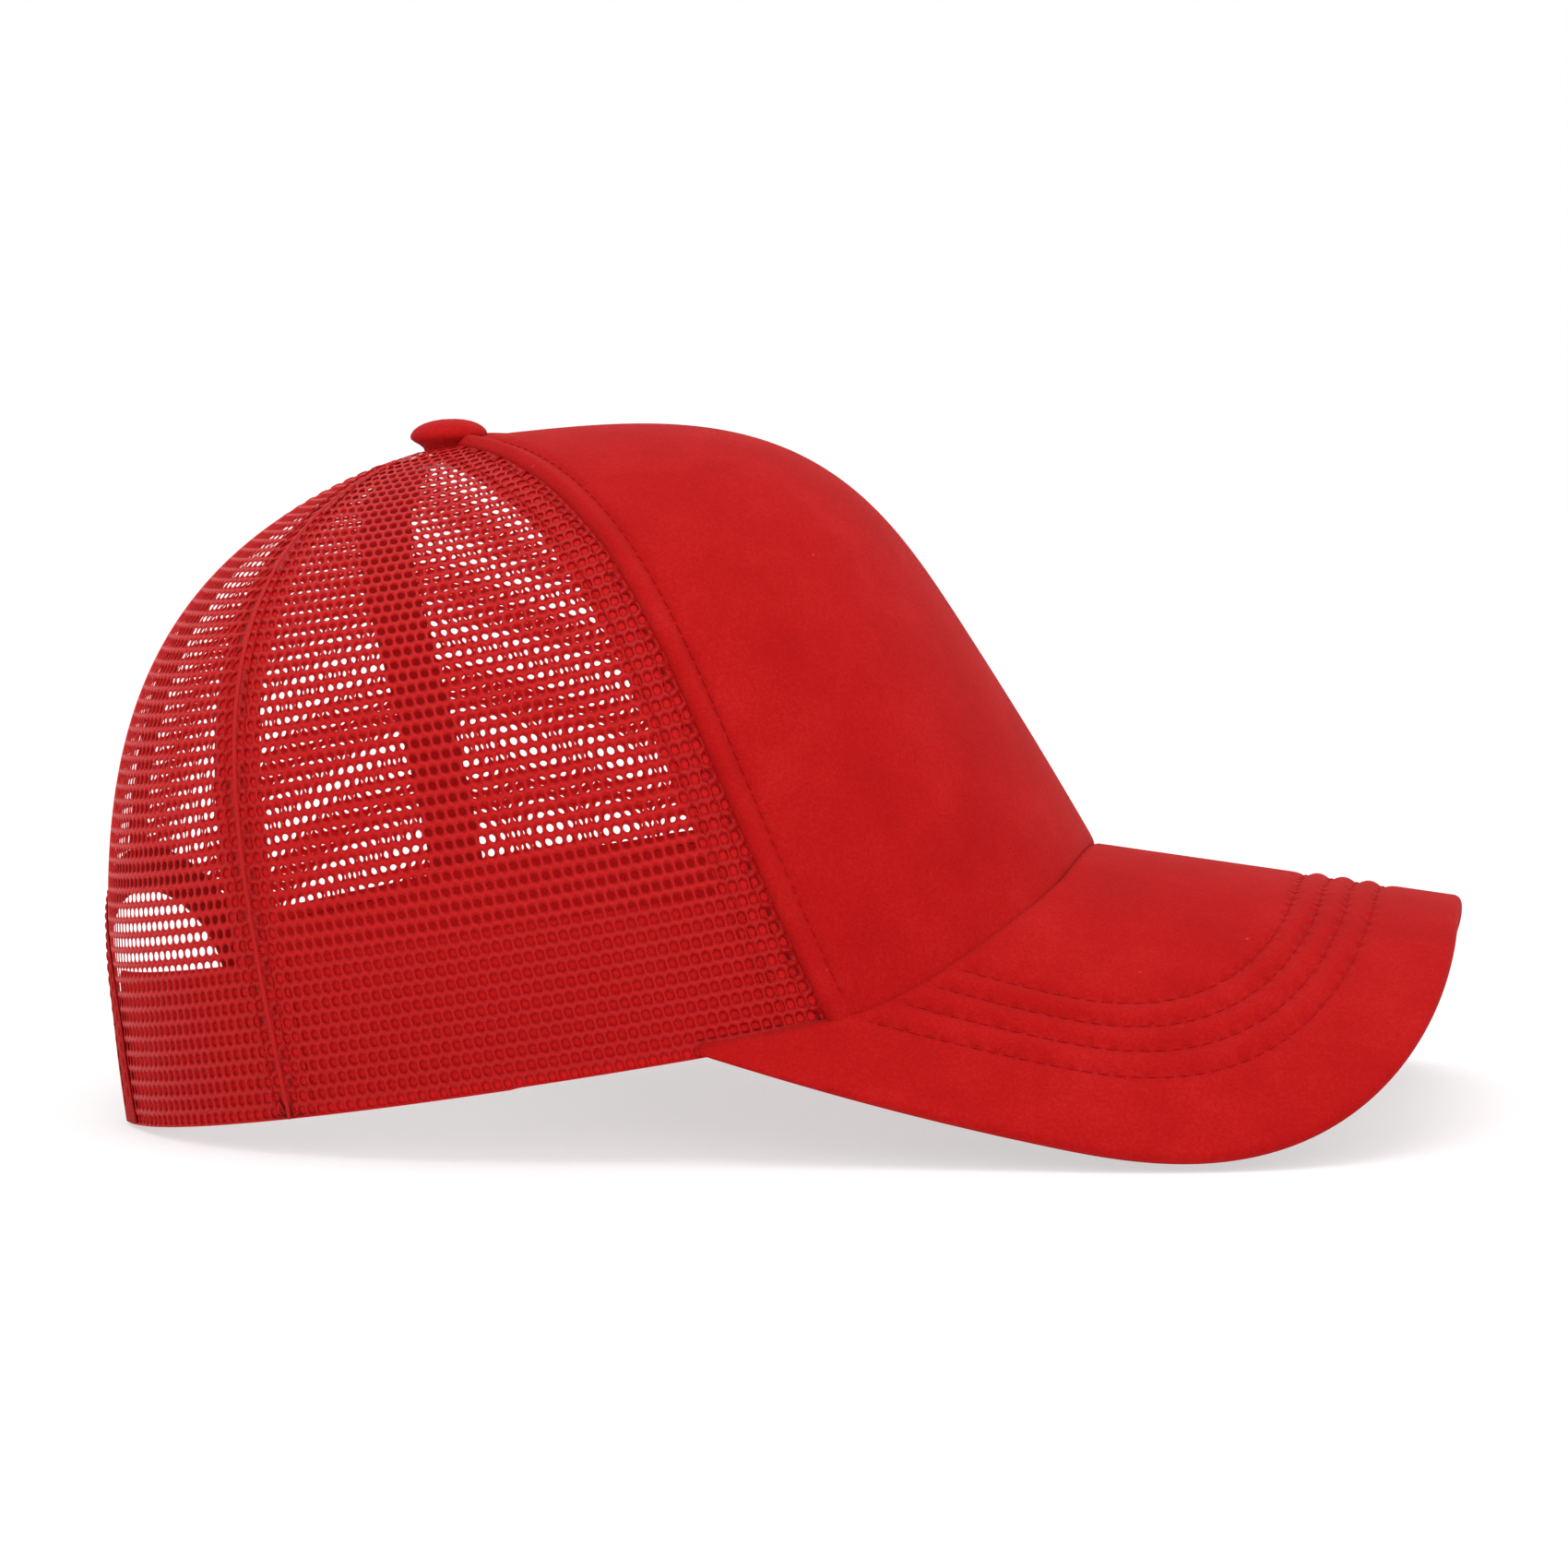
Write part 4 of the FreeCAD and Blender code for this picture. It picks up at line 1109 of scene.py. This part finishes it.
def brim_cover(name, under):
    """One cloth cover, from under the crown's edge out and half-way round the rim."""
    angle, seam, edge = brim_lines(COVER_COLUMNS, BRIM_CORNER_X, BRIM_CORNER_WIDTH, BRIM_EDGE_INSET)
    span = edge - seam
    width = np.linalg.norm(span, axis=1)[:, None]
    heading = (span / width)[:, None]
    half = brim_thickness(edge[:, 0])[:, None] / 2
    rim = np.minimum(half, 0.6 * width)
    turn = np.linspace(0, math.pi / 2, 8)[1:]
    flat = (width - rim) * np.linspace(0, 1, 112)
    lift = np.concatenate([np.zeros(flat.shape), 1 - np.cos(turn) + 0 * rim], axis=1)

    def layer(inset, share):
        out = np.concatenate([flat, (width - rim) + (rim - inset).clip(0.1) * np.sin(turn)], axis=1)
        plan = seam[:, None] + heading * out[..., None]
        x, y = plan[..., 0], plan[..., 1]
        body = brim_thickness(x) / 2
        level = body - (body - inset).clip(0.1) * (1 - lift)
        level = level + quilting(x, y) * np.clip(out / 1.5, 0, 1) * share
        return x, y, (2 * body - level if under else level)

    x, y, level = layer(0.0, 0.7 if under else 1.0)
    outer = brim_at(x, y, level)
    uv = np.stack(row_places(x, y), -1)
    x, y, level = layer(COVER_THICKNESS, 0.3)
    inner = brim_at(x, y, level)
    tuck = crown_at(angle, bottom_fall(angle), -0.9)
    tuck[:, 2] += cover_z(seam[:, 0], seam[:, 1]) - brim_z(seam[:, 0], seam[:, 1])
    thickness = brim_thickness(tuck[:, 0])
    fall_out, fall_in = (thickness - 0.6, thickness - 1.0) if under else (-0.6, -0.2)
    drop = np.array([0.0, 0.0, 1.0])
    outer = np.concatenate([(tuck - drop * np.reshape(fall_out, (-1, 1)))[:, None], outer], axis=1)
    inner = np.concatenate([(tuck - drop * np.reshape(fall_in, (-1, 1)))[:, None], inner], axis=1)
    uv = np.concatenate([uv[:, :1], uv], axis=1)
    first, second = (inner, outer) if under else (outer, inner)
    return closed_grid(name, first, second, QUILTED, LEFT, uv)


def brim_plate(name):
    """The stiff board between the covers."""
    _, seam, edge = brim_lines(160, BRIM_CORNER_X + 14.0, 3.0, 2.2)
    span = edge - seam
    plan = seam[:, None] + span[:, None] * np.linspace(0.012, 1, 60)[:, None]
    x, y = plan[..., 0], plan[..., 1]
    body = brim_thickness(x)
    return closed_grid(name, brim_at(x, y, 0.3 * body), brim_at(x, y, 0.7 * body), BOARD)


def row_places(x, y):
    """Cloth coordinates for the stitching: distance along the rows, and from the nearest row."""
    offs = np.stack([off_row(x, y, number) for number in range(ROW_COUNT)])
    nearest = np.min(np.abs(offs), axis=0)
    ahead = np.clip(x - ROW_CENTRE_X, 0, None)
    behind = np.clip(x - ROW_CENTRE_X, None, 0) * np.where(y > 0, 1, -1)
    return np.arctan2(ahead, y) * ROW_RADIUS + behind, nearest


def row_path(number):
    """Plan of one stitched row, from the crown on one side round to the other."""
    reach, half_width = row_sizes(number)
    angles = np.linspace(0.3, 1.45, 300)
    seam = crown_at(angles, bottom_fall(angles), FACE_PROUD + 0.05)
    start_x = float(np.interp(half_width, seam[:, 1], seam[:, 0])) + 1.0
    front = quarter_oval(ROW_CENTRE_X, reach, half_width, ROW_EXPONENTS, 200)
    return stepped(mirrored(np.concatenate([[(start_x, half_width)], front])), 0.4)


def add_brim():
    dress(brim_plate("brim_board_plate"), "board_plastic", "brim_board")
    top = dress(brim_cover("brim_top_cloth", False), "brim_cloth", "brim_top_cover")
    under = dress(brim_cover("brim_under_cloth", True), "brim_cloth", "brim_under_cover")
    spines = []
    for number in range(ROW_COUNT):
        plan = row_path(number)
        x, y = plan[:, 0], plan[:, 1]
        normal = brim_normal(x, y)
        groove = quilting(x, y)
        spines.append(stitch_spines(brim_at(x, y, groove), normal))
        spines.append(stitch_spines(brim_at(x, y, brim_thickness(x) - 0.7 * groove), -normal))
    add_stitches("brim_stitching", spines, "brim_cloth")


# ---------------------------------------------------------------- button

BUTTON_LEAN = math.radians(-7.0)
BUTTON_SHIFT = (1.0, -1.2)


def lathe(name, profile, material, pleats):
    """A closed turned shape about the button's axis, from its top down. Low down, its outline
    waves by a share of the radius, as cloth that is drawn together in pleats."""
    sides = 64
    turn = 2 * math.pi * np.arange(sides) / sides
    points = [(0.0, 0.0, profile[0][1])]
    for radius, height in profile[1:]:
        wide = radius * (1 + pleats * (height < 1.6) * np.sin(16 * turn))
        points += list(zip(wide * np.cos(turn), wide * np.sin(turn), np.full(sides, height)))
    last = 1 + (len(profile) - 2) * sides
    faces = [[0, 1 + k, 1 + (k + 1) % sides] for k in range(sides)]
    for a in range(1, last, sides):
        for k in range(sides):
            beyond = (k + 1) % sides
            faces.append([a + k, a + sides + k, a + sides + beyond, a + beyond])
    faces.append([last + k for k in range(sides - 1, -1, -1)])
    points = np.array(points)
    x, z = points[:, 0].copy(), points[:, 2].copy()
    points[:, 0] = x * math.cos(BUTTON_LEAN) - z * math.sin(BUTTON_LEAN) + APEX[0] + BUTTON_SHIFT[0]
    points[:, 2] = x * math.sin(BUTTON_LEAN) + z * math.cos(BUTTON_LEAN) + APEX[1] + BUTTON_SHIFT[1]
    return mesh_object(name, points, faces, material)


def add_button():
    """A cloth-covered button: a flattened dome over a steel shell, whose stem holds the tips of
    the panels."""
    cloth = [
        (0.0, 5.9), (1.6, 5.85), (3.2, 5.65), (4.8, 5.25), (6.1, 4.7), (7.1, 4.0), (7.7, 3.3),
        (7.95, 2.6), (7.75, 2.0), (7.1, 1.5), (6.1, 0.9), (5.3, 0.2), (5.0, -0.8), (4.4, -1.2),
    ]
    dress(lathe("button_cloth", cloth, CLOTH, 0.02), "button_cloth", "button_cap")
    shell = [
        (0.0, 4.9), (4.4, 4.3), (6.2, 3.2), (6.8, 2.4), (6.2, 1.7), (1.4, 1.4), (1.4, -4.2), (1.2, -4.4),
    ]
    dress(lathe("button_shell", shell, STEEL, 0.0), "button_metal", "button_core")


# ---------------------------------------------------------------- carried-over nodes


def paint_frame():
    materials = dict.fromkeys(("hole_strap", "peg_strap", "hole_strap_tab", "peg_strap_tab"), PLASTIC)
    materials["button_washer"] = STEEL
    for node, material in materials.items():
        mesh = frame["nodes"][node].data
        mesh.materials.clear()
        mesh.materials.append(material)


# ---------------------------------------------------------------- floor, light and camera

CAMERA_AZIMUTH = math.radians(10.24)
CAMERA_ELEVATION = math.radians(5.39)
CAMERA_ROLL = math.radians(-0.77)
CAMERA_DISTANCE = 1.1726
CAMERA_LENS = 131.4
CAMERA_TARGET = (37.6, 0.0, 50.8)


def add_floor():
    """A white surface. It glows a little cooler than it reflects, so that light thrown back by
    the red cloth leaves the shadow a neutral grey."""
    size = 6.0
    mesh = bpy.data.meshes.new("floor")
    corners = [(-size, -size, 0), (size, -size, 0), (size, size, 0), (-size, size, 0)]
    mesh.from_pydata(corners, [], [(0, 1, 2, 3)])
    nodes = Nodes("floor")
    nodes.set("Base Color", (0.54, 0.44, 0.44, 1.0))
    nodes.set("Emission Color", (0.465, 0.565, 0.565, 1.0))
    nodes.set("Emission Strength", 1.0)
    mesh.materials.append(nodes.finish(0.9, 0.0))
    floor = placed("floor", mesh)


def add_light(name, place, size, power):
    light = bpy.data.lights.new(name, "AREA")
    light.shape = "DISK"
    light.size = size
    light.energy = power
    lamp = placed(name, light)
    lamp.location = place
    lamp.rotation_euler = (Vector((0, 0, 0.05)) - Vector(place)).to_track_quat("-Z", "Y").to_euler()


def add_lights():
    world = bpy.data.worlds.new("studio")
    world.use_nodes = True
    world.node_tree.nodes["Background"].inputs["Color"].default_value = (1.0, 1.0, 1.0, 1.0)
    world.node_tree.nodes["Background"].inputs["Strength"].default_value = 1.0
    bpy.context.scene.world = world
    add_light("overhead", (0.1, -0.35, 1.6), 1.2, 9.0)
    add_light("front_fill", (0.5, -1.6, 0.7), 1.0, 4.0)
    bpy.context.scene.view_settings.view_transform = "Standard"


def add_camera():
    data = bpy.data.cameras.new("camera")
    data.lens = CAMERA_LENS
    data.sensor_width = 36.0
    data.clip_start = 0.01
    data.dof.use_dof = False
    camera = placed("camera", data)
    a, e, roll = CAMERA_AZIMUTH, CAMERA_ELEVATION, CAMERA_ROLL
    forward = Vector((-math.sin(a) * math.cos(e), math.cos(a) * math.cos(e), -math.sin(e)))
    right = Vector((math.cos(a), math.sin(a), 0.0))
    up = right.cross(forward)
    turned_right = right * math.cos(roll) + up * math.sin(roll)
    turned_up = up * math.cos(roll) - right * math.sin(roll)
    target = Vector((np.array(CAMERA_TARGET) + SHIFT) / 1000.0)
    place = target - forward * CAMERA_DISTANCE
    axes = Matrix((turned_right, turned_up, -forward)).transposed().to_4x4()
    camera.matrix_world = Matrix.Translation(place) @ axes
    bpy.context.scene.camera = camera


add_camera()
add_lights()
add_floor()
paint_frame()
add_netting()
add_front()
add_tapes()
add_seam_folds()
add_sweatband()
add_binding()
add_brim()
add_button()
